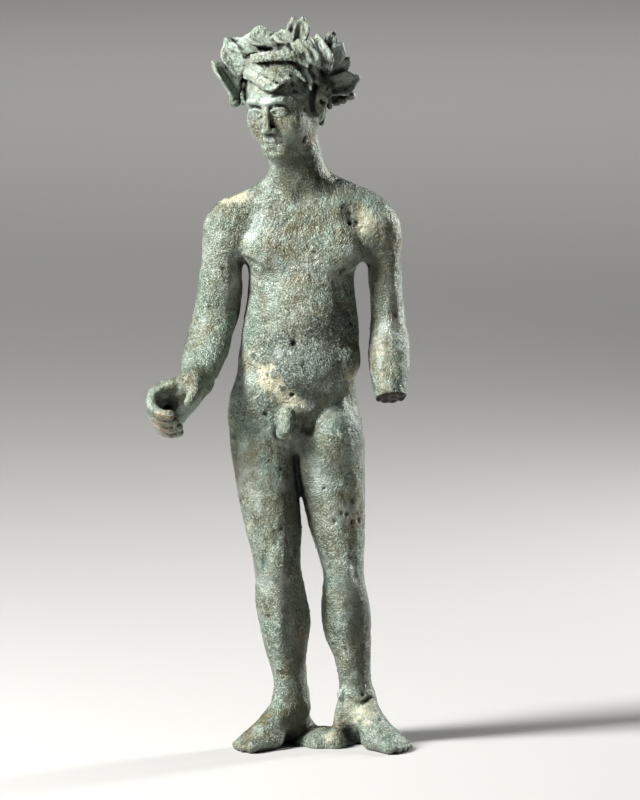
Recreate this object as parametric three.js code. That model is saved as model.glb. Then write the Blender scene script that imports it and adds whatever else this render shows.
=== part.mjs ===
// A small Roman bronze of a nude youth in a leafy wreath, solid cast in one piece with the lump of metal that
// joins its heels. Millimetres, +Z up, front towards -Y, origin on the ground between the feet.
// "Right" and "left" are the figure's own, so its right side lies towards -X.
import * as THREE from "three";

// Driving dimensions
const HEAD_AT = [-5.8, -0.6, 162.9]; // middle of the head, on the line of the eyes
const HEAD_TURN = { yaw: -24, pitch: 16, roll: -5 }; // turned to its right and bowed, in degrees
const RIGHT_FOOT = { at: [-3.4, 2.0, 0], yaw: -44 };
const LEFT_FOOT = { at: [13.2, 1.6, 0], yaw: 36 };
const GRIP = { at: [-33.0, -13.4, 86.4], turn: { yaw: 0, pitch: 46, roll: -8 }, radius: 4.7 };
// Where the left forearm is snapped off.
const BREAK = { at: [21.6, -7.6, 88.6], normal: [0.12, -0.42, -0.9] };
const LEAF_THICK = 0.8; // half the thickness of a wreath leaf
const STEP = 0.8; // grid spacing across the figure, and up through the head and wreath
const TALL_STEP = 1.2; // grid spacing up through the body
const NECK_HEIGHT = 144; // the finer spacing starts here
const SKIP = 4; // cells to a side of the blocks that are passed over where no surface is near
const SOLE_SNAP = 0.28; // points lower than this rest on the ground
const TRIANGLES = 9000; // the faceted solid is reduced to this many

// Horizontal slices through a limb: height, centre x, centre y, half width,
// reach to the front, reach to the back.
const TORSO = [
  [75.0, -2.4, 0.4, 7.5, 5.0, 6.5],
  [81.0, -2.3, 0.4, 15.6, 7.6, 8.6],
  [87.2, -2.9, 0.2, 15.9, 8.2, 8.8],
  [92.4, -2.5, 0.0, 15.0, 8.6, 8.2],
  [96.3, -1.9, 0.0, 14.8, 8.9, 7.6],
  [101.0, -1.4, 0.0, 14.9, 9.0, 7.2],
  [107.4, -1.0, 0.2, 14.3, 8.7, 7.2],
  [112.5, -0.9, 0.4, 13.6, 8.5, 7.5],
  [117.5, -0.9, 0.5, 13.2, 8.5, 7.9],
  [122.5, -0.6, 0.5, 13.8, 8.7, 8.2],
  [127.6, -0.3, 0.6, 14.2, 8.3, 8.2],
  [133.0, -0.5, 0.9, 13.2, 7.2, 7.2],
  [138.0, -0.7, 1.4, 9.6, 5.6, 5.6],
  [141.5, -0.9, 1.6, 6.6, 4.6, 4.6],
];
const NECK = [
  [135.0, -0.5, 1.4, 7.6, 5.0, 6.0],
  [140.0, -1.0, 1.2, 7.3, 5.4, 6.0],
  [145.0, -1.8, 0.8, 7.0, 5.8, 6.2],
  [150.0, -2.7, 0.4, 6.8, 6.0, 6.6],
  [156.0, -3.8, 0.6, 6.6, 5.8, 7.0],
  [161.0, -4.4, 1.2, 6.4, 5.6, 7.4],
];
const RIGHT_LEG = [
  [6.0, -3.4, 2.2, 3.6, 3.8, 3.8],
  [11.3, -3.5, 2.0, 4.1, 4.4, 4.6],
  [17.7, -3.9, 1.6, 4.3, 4.6, 5.0],
  [21.5, -4.5, 1.2, 4.8, 4.9, 5.6],
  [26.6, -4.9, 0.8, 5.8, 5.3, 6.6],
  [31.6, -5.1, 0.2, 6.6, 5.6, 7.6],
  [36.7, -5.9, -0.6, 6.6, 5.7, 7.4],
  [41.7, -6.4, -1.4, 6.05, 6.0, 6.2],
  [45.5, -6.9, -1.8, 5.9, 6.5, 5.8],
  [49.3, -7.25, -1.7, 6.2, 6.6, 6.4],
  [54.3, -7.8, -1.3, 7.0, 6.9, 7.4],
  [61.9, -8.9, -0.8, 7.6, 7.6, 8.0],
  [69.4, -9.75, -0.4, 7.95, 8.0, 8.4],
  [77.0, -10.5, 0.0, 8.3, 8.2, 8.6],
  [83.3, -11.0, 0.4, 7.7, 7.6, 8.2],
  [89.0, -11.0, 0.6, 5.6, 5.6, 6.4],
];
const LEFT_LEG = [
  [6.0, 12.6, 1.6, 3.6, 3.8, 3.8],
  [11.4, 13.0, 1.4, 4.2, 4.4, 4.6],
  [15.2, 12.6, 1.4, 4.1, 4.4, 4.6],
  [19.0, 12.2, 1.4, 4.25, 4.6, 5.0],
  [22.8, 11.75, 1.4, 4.8, 5.0, 5.6],
  [26.6, 10.9, 1.3, 5.7, 5.4, 6.8],
  [31.1, 10.4, 1.0, 6.2, 5.7, 7.6],
  [35.4, 10.1, 0.7, 6.05, 5.8, 7.4],
  [39.2, 9.9, 0.4, 5.6, 5.9, 6.4],
  [43.0, 9.7, 0.2, 5.1, 6.2, 5.6],
  [46.8, 9.2, 0.2, 5.5, 6.4, 6.0],
  [50.5, 8.7, 0.2, 6.2, 6.7, 6.8],
  [55.6, 7.9, 0.2, 7.1, 7.2, 7.6],
  [61.9, 7.25, 0.2, 7.8, 7.9, 8.2],
  [68.2, 6.4, 0.2, 8.65, 8.3, 8.6],
  [74.5, 6.1, 0.3, 8.9, 8.4, 8.8],
  [79.5, 6.2, 0.4, 8.2, 7.8, 8.6],
  [86.0, 6.0, 0.5, 5.8, 5.8, 6.6],
];
const RIGHT_ARM = [
  [94.0, -26.2, -9.4, 4.5, 4.6, 4.3],
  [96.9, -25.6, -6.9, 5.2, 5.6, 5.3],
  [100.2, -24.6, -3.8, 5.8, 6.4, 6.2],
  [103.6, -23.8, -0.9, 5.7, 6.2, 6.2],
  [107.6, -22.5, 1.2, 5.9, 5.6, 5.5],
  [112.5, -21.6, 1.4, 5.8, 5.6, 5.5],
  [117.5, -21.1, 1.0, 5.5, 5.7, 5.7],
  [122.5, -20.8, 0.6, 5.1, 5.6, 5.6],
  [127.6, -20.4, 0.4, 5.1, 5.6, 5.6],
  [132.1, -19.6, 0.4, 4.8, 5.0, 5.0],
];
const LEFT_ARM = [
  [85.0, 21.8, -8.9, 3.6, 3.9, 3.9],
  [88.5, 21.5, -7.6, 3.9, 4.2, 4.2],
  [90.6, 21.25, -6.6, 4.2, 4.6, 4.5],
  [94.1, 21.05, -4.8, 4.8, 5.2, 5.1],
  [97.7, 21.0, -2.8, 5.2, 5.8, 5.6],
  [101.2, 21.1, -0.8, 5.2, 5.9, 5.9],
  [104.7, 20.9, 0.9, 4.8, 5.5, 5.5],
  [108.4, 20.7, 1.9, 4.3, 5.1, 5.1],
  [112.5, 20.4, 1.8, 4.2, 5.2, 5.2],
  [117.5, 20.0, 1.4, 4.25, 5.4, 5.4],
  [122.5, 19.8, 1.0, 4.3, 5.4, 5.4],
  [127.6, 19.4, 0.6, 4.6, 5.4, 5.4],
  [132.6, 18.6, 0.4, 4.6, 5.0, 5.0],
];

const DEGREE = Math.PI / 180;

// Blends two distances over the width k, as a joint in wax is smoothed with a finger.
function soften(a, b, k) {
  const h = Math.max(k - Math.abs(a - b), 0) / k;
  return Math.min(a, b) - (h * h * k) / 4;
}

function between(low, high, value) {
  return Math.min(Math.max(value, low), high);
}

function turned({ yaw = 0, pitch = 0, roll = 0 }) {
  return new THREE.Euler(pitch * DEGREE, roll * DEGREE, yaw * DEGREE, "ZXY");
}

// Rounded forms. Each has distance(x, y, z) to its surface, and a middle and reach that bound it.
function ball(middle, radii, turn = {}) {
  const toLocal = new THREE.Matrix4().makeRotationFromEuler(turned(turn)).transpose().elements;
  const [rx, ry, rz] = radii;
  return {
    middle,
    reach: Math.max(...radii),
    distance(x, y, z) {
      const [dx, dy, dz] = [x - middle[0], y - middle[1], z - middle[2]];
      const u = (toLocal[0] * dx + toLocal[4] * dy + toLocal[8] * dz) / rx;
      const v = (toLocal[1] * dx + toLocal[5] * dy + toLocal[9] * dz) / ry;
      const w = (toLocal[2] * dx + toLocal[6] * dy + toLocal[10] * dz) / rz;
      const share = Math.hypot(u, v, w);
      if (share < 1e-6) return -Math.min(rx, ry, rz);
      return (share * (share - 1)) / Math.hypot(u / rx, v / ry, w / rz);
    },
  };
}

function rod(from, to, fromRadius, toRadius = fromRadius) {
  const along = to.map((value, i) => value - from[i]);
  const square = along[0] ** 2 + along[1] ** 2 + along[2] ** 2;
  return {
    middle: from.map((value, i) => value + along[i] / 2),
    reach: Math.sqrt(square) / 2 + Math.max(fromRadius, toRadius),
    distance(x, y, z) {
      const [dx, dy, dz] = [x - from[0], y - from[1], z - from[2]];
      const t = between(0, 1, (dx * along[0] + dy * along[1] + dz * along[2]) / square);
      const gap = Math.hypot(dx - t * along[0], dy - t * along[1], dz - t * along[2]);
      return gap - fromRadius - t * (toRadius - fromRadius);
    },
  };
}

// A rod through several points, with a radius at each end.
function strand(points, fromRadius, toRadius = fromRadius) {
  const spans = points.length - 1;
  const radiusAt = (i) => fromRadius + ((toRadius - fromRadius) * i) / spans;
  return points.slice(1).map((point, i) => rod(points[i], point, radiusAt(i), radiusAt(i + 1)));
}

// A limb from its horizontal slices, with smooth curves between them.
function limb(slices) {
  const [low, high] = [slices[0], slices[slices.length - 1]];
  const widest = Math.max(...slices.map((slice) => Math.max(slice[3], slice[4], slice[5])));
  const blend = (i, column, t) => {
    const at = (n) => slices[between(0, slices.length - 1, n)][column];
    const [p0, p1, p2, p3] = [at(i - 1), at(i), at(i + 1), at(i + 2)];
    const curve = 2 * p0 - 5 * p1 + 4 * p2 - p3 + (3 * (p1 - p2) + p3 - p0) * t;
    return p1 + 0.5 * t * (p2 - p0 + t * curve);
  };
  return {
    middle: [(low[1] + high[1]) / 2, (low[2] + high[2]) / 2, (low[0] + high[0]) / 2],
    reach: (high[0] - low[0]) / 2 + widest + 6,
    distance(x, y, z) {
      const level = between(low[0], high[0], z);
      let i = 0;
      while (i < slices.length - 2 && slices[i + 1][0] < level) i += 1;
      const t = (level - slices[i][0]) / (slices[i + 1][0] - slices[i][0]);
      const dx = x - blend(i, 1, t);
      const dy = y - blend(i, 2, t);
      const deep = blend(i, dy < 0 ? 4 : 5, t);
      const share = Math.hypot(dx / blend(i, 3, t), dy / deep);
      const across = Math.hypot(dx, dy);
      const aside = share < 1e-6 ? -deep : across - across / share;
      const past = Math.abs(z - level);
      return past > 0 ? Math.hypot(Math.max(aside, 0), past) : aside;
    },
  };
}

// A wreath leaf: a lobed oval that is cupped along its midrib, growing from base to tip and facing one way.
function leaf(base, tip, facing, halfWidth, cup = 0.12) {
  const from = new THREE.Vector3(...base);
  const along = new THREE.Vector3(...tip).sub(from);
  const length = along.length();
  along.normalize();
  const across = new THREE.Vector3(...facing).cross(along).normalize();
  const out = along.clone().cross(across);
  const middle = from.clone().addScaledVector(along, length / 2);
  return {
    middle: middle.toArray(),
    reach: length / 2 + 2,
    distance(x, y, z) {
      const [dx, dy, dz] = [x - middle.x, y - middle.y, z - middle.z];
      const u = dx * along.x + dy * along.y + dz * along.z;
      const v = dx * across.x + dy * across.y + dz * across.z;
      const bend = cup * v * v - (0.05 * u * u * 4) / length;
      const w = dx * out.x + dy * out.y + dz * out.z - bend;
      const width = (halfWidth - LEAF_THICK) * (1 - (0.35 * u) / length);
      const long = length / 2 - LEAF_THICK;
      const lobes = 1 - 0.07 * Math.cos(5 * Math.atan2(v / width, u / long));
      const share = Math.hypot(u / long, v / width) * lobes;
      const beyond = share > 1 ? (share * (share - 1)) / Math.hypot(u / long ** 2, v / width ** 2) : 0;
      return Math.hypot(beyond, w) - LEAF_THICK;
    },
  };
}

// A list of forms worked in order. Each is added or carved, blended over its width.
function add(blend, ...forms) {
  return forms.flat().map((form) => ({ ...form, blend, sign: 1 }));
}
function carve(blend, ...forms) {
  return forms.flat().map((form) => ({ ...form, blend, sign: -1 }));
}

function distanceTo(steps, x, y, z) {
  let d = 1e3;
  for (const step of steps) {
    const [cx, cy, cz] = step.middle;
    const nearest = Math.hypot(x - cx, y - cy, z - cz) - step.reach;
    if (step.sign > 0 && nearest < d + step.blend) d = soften(d, step.distance(x, y, z), step.blend);
    if (step.sign < 0 && nearest < step.blend) d = -soften(-d, step.distance(x, y, z), step.blend);
  }
  return d;
}

// Forms worked in a frame of their own, such as the head's, that is turned and set in place.
function framed({ at, turn = {}, reach, middle = [0, 0, 0] }, steps) {
  const frame = new THREE.Matrix4().makeRotationFromEuler(turned(turn)).setPosition(...at);
  const m = frame.clone().invert().elements;
  return {
    middle: new THREE.Vector3(...middle).applyMatrix4(frame).toArray(),
    reach,
    distance(x, y, z) {
      return distanceTo(
        steps,
        m[0] * x + m[4] * y + m[8] * z + m[12],
        m[1] * x + m[5] * y + m[9] * z + m[13],
        m[2] * x + m[6] * y + m[10] * z + m[14],
      );
    },
  };
}

function mirrored(make) {
  return [make(-1), make(1)].flat();
}

// Shoulders, chest, belly and back, over the slices of the torso.
function trunk() {
  return [
    ...add(1, limb(TORSO)),
    ...add(2.5, limb(NECK)),
    ...add(3, rod([-2.5, 1.8, 143.2], [-17.5, 1.2, 134.2], 3.2, 3.8)), // trapezius
    ...add(3, rod([2.4, 1.8, 142.6], [14.4, 1.2, 136.4], 3.0, 3.8)),
    ...add(3, ball([-18.4, 0.2, 129.6], [7.0, 6.2, 8.0])), // deltoids
    ...add(3, ball([16.9, 0.2, 130.0], [6.8, 6.2, 8.2])),
    ...add(1.8, ball([-7.8, -3.9, 126.0], [7.8, 4.3, 6.8], { yaw: 8 })), // pectorals
    ...add(1.8, ball([7.0, -3.9, 125.8], [7.6, 4.3, 6.8], { yaw: -8 })),
    ...add(4, rod([-8, -1.4, 133.4], [7, -1.4, 133.6], 4.2)), // upper chest
    ...add(2, strand([[-2.6, -3.4, 138.0], [-9, -3.6, 137.4], [-16, -1.8, 135.8]], 0.6)), // collar bones
    ...add(2, strand([[1.4, -3.4, 138.0], [8, -3.6, 137.6], [15, -1.8, 136.4]], 0.6)),
    ...add(1.6, ball([-0.2, -5.4, 109.6], [8.2, 4.2, 9.0])), // upper belly
    ...add(1.4, ball([0.6, -5.6, 96.4], [10.4, 6.4, 7.0])), // lower belly
    ...add(2, ball([-12.6, -1.2, 96.6], [3.2, 5.0, 4.0])), // flanks
    ...add(2, ball([9.6, -2.6, 97.4], [4.2, 5.8, 4.8])),
    ...add(1.6, strand([[10.6, -3.6, 98.6], [9.6, -6.8, 95.0], [6.0, -8.6, 91.8]], 2.2, 1.6)), // hip fold
    ...add(3, ball([-8.4, 6.2, 127.0], [5.4, 2.8, 6.4])), // shoulder blades
    ...add(3, ball([7.0, 6.2, 127.2], [5.4, 2.8, 6.4])),
    ...add(2.5, ball([-9.4, 5.0, 82.0], [7.2, 6.0, 7.8])), // buttocks
    ...add(2.5, ball([4.6, 5.2, 81.4], [7.3, 6.0, 7.8])),
    ...add(2, ball([-2.8, -6.4, 83.4], [4.2, 3.0, 3.4])), // pubis
    ...carve(2.4, rod([-0.6, -9.9, 131], [-0.9, -10.6, 119], 0.8)), // breastbone
    // Under the chest
    ...carve(1.6, strand([[-13.8, -5.8, 123.0], [-10.0, -8.2, 119.4], [-2.4, -9.6, 120.2]], 0.7)),
    ...carve(1.6, strand([[12.8, -6.0, 122.6], [8.6, -8.4, 118.8], [1.2, -9.6, 120.2]], 0.8)),
    ...carve(2.0, rod([-1.0, -11.2, 117], [-0.2, -11.6, 105], 0.5)), // line down the belly
    ...carve(1.4, strand([[-6.4, -9.9, 103.2], [-1.0, -11.2, 102.2], [8.4, -9.6, 104.8]], 0.5)), // waist
    ...carve(2.0, strand([[6.2, -10.8, 117.0], [8.4, -10.2, 111.0], [9.4, -9.8, 104.6]], 0.7)), // flanks
    ...carve(2.0, strand([[-6.6, -10.8, 116.5], [-8.0, -10.4, 110.0], [-7.6, -10.6, 103.0]], 0.5)),
    ...carve(2.4, ball([9.4, -11.0, 104.6], [2.0, 2.2, 3.6])),
    ...carve(1.0, ball([0.3, -12.4, 97.6], [1.3, 1.0, 1.5])), // navel
    ...carve(2.4, strand([[-14.6, -6.0, 92.4], [-11.2, -8.2, 88.2], [-6.2, -9.4, 83.4]], 0.5)), // groin
    ...add(3, ball([-11.8, -3.4, 88.4], [5.0, 4.8, 7.0])), // front of the right hip
    ...carve(4, rod([-0.9, 9.6, 134], [-2.2, 9.0, 92], 0.7)), // spine
    ...carve(1.8, rod([-2.6, 12.6, 87], [-2.4, 12.0, 74], 0.9)),
    ...carve(2.4, ball([-0.6, -5.9, 139.4], [1.5, 1.4, 1.5])), // hollow of the throat
  ];
}

// The thighs meet in a crease, so the legs are added with a tight blend between them.
function legs() {
  const shaped = (side, slices, [kneeX, kneeY, kneeZ], [calfX, calfY, calfZ]) => [
    ...add(1, limb(slices)),
    ...add(2, ball([kneeX, kneeY - 4.9, kneeZ], [3.0, 2.0, 3.4])), // kneecap
    ...add(2, rod([kneeX, kneeY - 4.4, kneeZ - 5], [calfX + side * 0.4, calfY - 2.8, 20], 1.2, 0.7)), // shin
    ...add(2.5, ball([calfX - 2.0, calfY + 3.6, calfZ], [3.2, 3.8, 7.4])), // calf
    ...add(2.5, ball([calfX + 2.0, calfY + 3.6, calfZ - 0.8], [3.2, 3.8, 7.0])),
    ...carve(1.6, ball([kneeX - 3.2, kneeY - 6.2, kneeZ + 1], [0.8, 1.2, 2.6])),
    ...carve(1.6, ball([kneeX + 3.2, kneeY - 6.2, kneeZ + 1], [0.8, 1.2, 2.6])),
    ...carve(2.4, ball([kneeX, kneeY + 6.6, kneeZ + 0.6], [2.4, 1.4, 3.4])), // back of the knee
  ];
  const frame = { at: [0, 0, 0], reach: 56, middle: [0, 0, 45] };
  const pair = [
    ...add(1, framed(frame, shaped(-1, RIGHT_LEG, [-6.9, -1.8, 46], [-5.3, 0.6, 34]))),
    ...add(1, framed(frame, shaped(1, LEFT_LEG, [9.6, 0.2, 44], [10.3, 1.0, 33]))),
  ];
  const groin = [[12.4, -5.2, 92.0], [9.6, -6.8, 89.4], [4.6, -8.2, 86.0], [0.6, -8.4, 81.5]];
  return [
    ...add(3, framed(frame, pair)),
    ...add(2.5, ball([6.6, -3.2, 78.6], [7.0, 7.0, 9.6])), // top of the left thigh
    ...carve(1.0, strand(groin, 0.9, 1.7)),
    ...carve(1.2, rod([-0.4, -9.6, 80.0], [-0.8, -8.6, 70.0], 0.9)),
  ];
}

function arms() {
  const brokenArm = [
    ...add(1, limb(LEFT_ARM)),
    ...add(2, ball([20.6, 5.6, 107.6], [2.0, 1.8, 2.6])),
    ...carve(0.6, stumpCut()),
  ];
  return [
    ...add(1.2, limb(RIGHT_ARM)),
    ...add(2, ball([-22.6, 5.0, 107.4], [2.2, 1.8, 2.6])), // elbows
    ...add(1.6, framed({ at: [0, 0, 0], reach: 34, middle: [20, -2, 109] }, brokenArm)),
  ];
}

// The half space past the break, made uneven by a few shallow dents.
function stumpCut() {
  const normal = new THREE.Vector3(...BREAK.normal).normalize();
  const [px, py, pz] = BREAK.at;
  return {
    middle: BREAK.at.map((value, i) => value + 10 * normal.getComponent(i)),
    reach: 12,
    distance(x, y, z) {
      const dents = 0.35 * Math.sin(1.6 * x + 0.7) * Math.sin(1.9 * y);
      return -((x - px) * normal.x + (y - py) * normal.y + (z - pz) * normal.z) + dents;
    },
  };
}

// One foot, toes towards -Y. The big toe lies on the side that inner points to.
function foot({ at, yaw }, inner) {
  const toes = [
    [3.4, -13.2, -19.8, 1.75],
    [1.0, -14.2, -19.6, 1.25],
    [-1.1, -13.9, -18.8, 1.2],
    [-3.1, -13.2, -17.6, 1.15],
    [-4.9, -12.2, -16.0, 1.1],
  ];
  const steps = [
    ...add(1, ball([0, 3.4, 3.0], [3.5, 3.9, 3.6])),
    ...add(2.5, rod([0, 0.4, 12], [0, 0.6, 5.0], 3.9, 3.9)),
    ...add(2.5, rod([inner * 0.0, -1.6, 8.2], [inner * 0.3, -10.2, 4.0], 4.5, 3.3)),
    ...add(2.5, ball([inner * -0.4, -10.6, 2.0], [5.6, 5.8, 2.8])),
    ...add(2.5, rod([inner * -1.8, 1.0, 2.4], [inner * -3.4, -9, 1.9], 2.8, 2.3)),
    ...add(1.5, ball([inner * 3.9, 0.6, 9.4], [1.3, 1.7, 1.7])),
    ...add(1.5, ball([inner * -3.9, 1.4, 8.4], [1.3, 1.7, 1.7])),
    ...toes.flatMap(([x, root, tip, r]) =>
      add(0.6, rod([inner * x * 0.92, root, 1.9], [inner * x, tip + r, r - 0.15], r, r * 0.92)),
    ),
  ];
  return add(2.0, framed({ at, turn: { yaw }, reach: 21, middle: [0, -6, 5] }, steps));
}

// The rough metal left between the heels.
function heelLump() {
  return [
    ...add(1.6, ball([4.4, 1.0, 0.2], [8.0, 5.6, 4.4])),
    ...add(1.2, ball([3.4, -3.0, 0.6], [3.4, 4.0, 3.0])),
    ...add(1.2, ball([7.4, -3.4, 1.0], [3.0, 4.0, 3.6])),
    ...add(1.2, ball([9.0, 0.2, 5.4], [2.0, 2.6, 4.6])),
    ...add(0.8, ball([8.9, -1.6, 13.0], [0.9, 1.0, 1.7])),
  ];
}

// The right hand: four fingers curled round an empty grip, the palm behind it and the thumb over the top.
function rightHand() {
  const finger = (level, start, end, reach) => {
    const points = [];
    for (let i = 0; i <= 6; i += 1) {
      const angle = (start + ((end - start) * i) / 6) * DEGREE;
      points.push([reach * Math.cos(angle), reach * Math.sin(angle), level]);
    }
    return strand(points, 1.65, 1.3);
  };
  const r = GRIP.radius;
  const steps = [
    ...add(1.5, rod([5.6, 5.4, 4.0], [2.4, 5.0, 0.6], 3.6, 3.2)), // wrist into palm
    ...add(2, ball([0.4, 5.1, -0.4], [4.6, 1.9, 5.6], { yaw: 12 })),
    ...add(0.4, finger(4.4, 80, 272, r)),
    ...add(0.4, finger(1.7, 100, 280, r)),
    ...add(0.4, finger(-1.0, 100, 286, r)),
    ...add(0.4, finger(-3.6, 100, 286, r - 0.3)),
    ...add(1, strand([[5.6, 4.9, 3.0], [6.2, 1.7, 4.6], [4.8, -1.2, 4.4]], 1.8, 1.3)), // thumb
  ];
  const frame = { at: GRIP.at, turn: GRIP.turn, reach: 13 };
  return [
    ...add(2, framed(frame, steps)),
    ...carve(0.6, framed(frame, add(1, rod([-0.2, -0.4, 9], [0.2, -0.4, -4], 2.8)))),
    ...add(1.0, strand([[-26.6, -9.6, 93.2], [-29.8, -9.0, 88.4], [-32.8, -10.0, 83.4]], 4.1, 2.6)), // heel
  ];
}

// The head, facing -Y in its own frame, with a plain ideal face on even proportions.
function face() {
  const side = (s) => {
    const brow = [[s * 1.2, -9.2, 2.3], [s * 2.6, -9.3, 2.9], [s * 4.2, -8.6, 2.9], [s * 5.8, -7.0, 1.9]];
    return [
      ...add(2.4, rod([s * 6.2, 0.6, -5.6], [s * 1.8, -6.9, -10.4], 2.5, 2.4)), // jaw
      ...add(2.4, ball([s * 4.0, -5.9, -4.4], [3.2, 2.9, 3.6])), // cheek
      ...add(1.6, strand(brow, 0.6, 0.5)),
      ...carve(1.3, ball([s * 3.2, -10.8, 0.3], [2.6, 2.0, 1.9])),
      ...add(0.3, ball([s * 3.1, -7.7, -0.05], [2.2, 1.95, 1.5])), // eye
      ...add(0.8, ball([s * 9.6, 1.4, -2.2], [1.2, 2.3, 3.5], { yaw: s * -14 })), // ear
    ];
  };
  const lips = [[-2.7, -8.8, -7.8], [-1.0, -10.1, -7.2], [1.0, -10.1, -7.2], [2.7, -8.8, -7.8]];
  return [
    ...add(1, ball([0, 2.4, 3.4], [8.8, 10.8, 9.6])),
    ...add(3, ball([0, -3.3, -2.6], [7.8, 6.3, 9.4])),
    ...add(2, ball([0, -7.9, -11.0], [2.8, 2.1, 1.9])), // chin
    ...add(1.8, ball([0, -8.0, -7.6], [3.3, 2.3, 2.8])),
    ...mirrored(side),
    ...add(0.9, rod([0, -9.2, 2.2], [0, -11.1, -3.6], 0.8, 0.95)), // nose
    ...add(0.5, ball([0, -11.1, -4.1], [1.05, 0.95, 0.9])),
    ...add(0.5, ball([-1.3, -10.2, -4.5], [0.8, 1.0, 0.75])),
    ...add(0.5, ball([1.3, -10.2, -4.5], [0.8, 1.0, 0.75])),
    ...add(0.5, strand(lips, 0.5)),
    ...add(0.5, rod([-1.6, -9.3, -8.5], [1.6, -9.3, -8.5], 0.8)),
  ];
}

// A point over the skull: azimuth from the brow round to its left, height above its middle, in degrees.
function onSkull(azimuth, height, lift) {
  const [a, h] = [azimuth * DEGREE, height * DEGREE];
  const [x, y, z] = [Math.sin(a) * Math.cos(h), -Math.cos(a) * Math.cos(h), Math.sin(h)];
  return [x * (8.9 + lift), 3.0 + y * (10.6 + lift), 3.8 + z * (9.2 + lift)];
}

// A lock of hair: strands side by side along a path of angles over the skull, drawn to a point.
function combed(path, lift, width = 1.15, thick = 0.95) {
  const last = path.length - 1;
  return [-1, 0, 1].map((side) => {
    const points = path.map(([azimuth, height], i) => {
      const [behind, ahead] = [path[Math.max(i - 1, 0)], path[Math.min(i + 1, last)]];
      const narrow = Math.max(Math.cos(height * DEGREE), 0.3);
      const [run, rise] = [(ahead[0] - behind[0]) * narrow, ahead[1] - behind[1]];
      const aside = ((side * width) / 0.19) * ((1 - 0.85 * (i / last) ** 2) / Math.hypot(run, rise));
      return onSkull(azimuth - (aside * rise) / narrow, height + aside * run, lift + (side === 0 ? 0.4 : 0));
    });
    return strand(points, thick, 0.5 * thick);
  }).flat();
}

// Locks combed aside over the brow, curls at each ear, and rows of locks from the crown down to the nape.
function hair() {
  const browLocks = [
    [[-32, 60], [-16, 59], [4, 53], [22, 43], [36, 34], [48, 34]],
    [[-32, 44], [-16, 43], [2, 37], [18, 27], [30, 19], [40, 20]],
    [[-32, 30], [-20, 30], [-8, 25], [4, 16], [14, 11], [22, 13]],
    [[16, 56], [30, 48], [43, 36], [53, 22], [58, 10]],
    [[-36, 58], [-50, 46], [-60, 30], [-64, 16], [-60, 6]],
    [[-36, 42], [-47, 30], [-52, 16], [-48, 5]],
    [[50, 60], [66, 46], [76, 30], [80, 14], [76, 0]],
    [[44, 48], [56, 36], [64, 22], [66, 8], [62, -2]],
  ];
  const lock = (azimuth, height, curl) => {
    const path = [0, 1, 2, 3, 4].map((i) => [azimuth + curl * (i / 2 - 1) ** 2, height - 6.5 * i]);
    return combed(path, 1.4, 1.3, 1.1);
  };
  const curls = (s) => {
    const over = [[s * 10.2, 1.6, 4.8], [s * 11.6, 1.2, 3.0], [s * 10.8, 0.2, 1.2], [s * 11.5, 0.8, -0.6]];
    const behind = [[s * 10.4, 4.4, 3.6], [s * 11.2, 4.0, 1.0], [s * 10.2, 4.8, -1.6], [s * 10.6, 4.4, -4.0]];
    return [
      ...add(0.4, strand(over, 1.5, 1.0)),
      ...add(0.4, strand(behind, 1.5, 1.0)),
      ...add(0.4, ball([s * 10.4, 2.8, -6.6], [1.3, 1.4, 1.3])),
    ];
  };
  const nape = (i) => {
    const a = (96 + 12 * i) * DEGREE;
    const low = -6.6 - 3.6 * Math.sin((Math.PI * i) / 14) - 0.8 * (i % 2);
    const hang = (out, z) => {
      const wave = a + 0.04 * z;
      return [out * 7.4 * Math.sin(wave), 5.6 - out * 6.6 * Math.cos(wave), z];
    };
    return strand([hang(1.1, 1.0), hang(1.08, 0.6 * low), hang(0.86, low)], 1.2, 0.7);
  };
  const rows = [];
  for (let row = 0; row < 5; row += 1) {
    const count = row === 0 ? 6 : 11 - row;
    const apart = row === 0 ? 60 : 28 - 2 * row;
    for (let i = 0; i < count; i += 1) {
      const azimuth = 180 + (i - (count - 1) / 2) * apart + (row % 2) * 8;
      rows.push(lock(azimuth, 80 - 25 * row, i % 2 ? 10 : -10));
    }
  }
  for (let i = 0; i < 15; i += 1) rows.push(nape(i));
  return [
    ...add(0.6, ball([0, 3.6, 4.4], [9.6, 10.8, 10.0])),
    ...add(3, ball([0, 5.6, -4.6], [7.4, 6.0, 6.6])), // nape
    ...add(0.6, ball([1.4, -0.6, 8.6], [8.0, 7.2, 4.9])), // over the brow
    ...browLocks.flatMap((path, i) => add(0.2, combed(path, 2.0 + 0.3 * (i % 2), 0.9, 0.75))),
    ...mirrored(curls),
    ...rows.flatMap((form) => add(0.3, form)),
  ];
}

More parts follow.
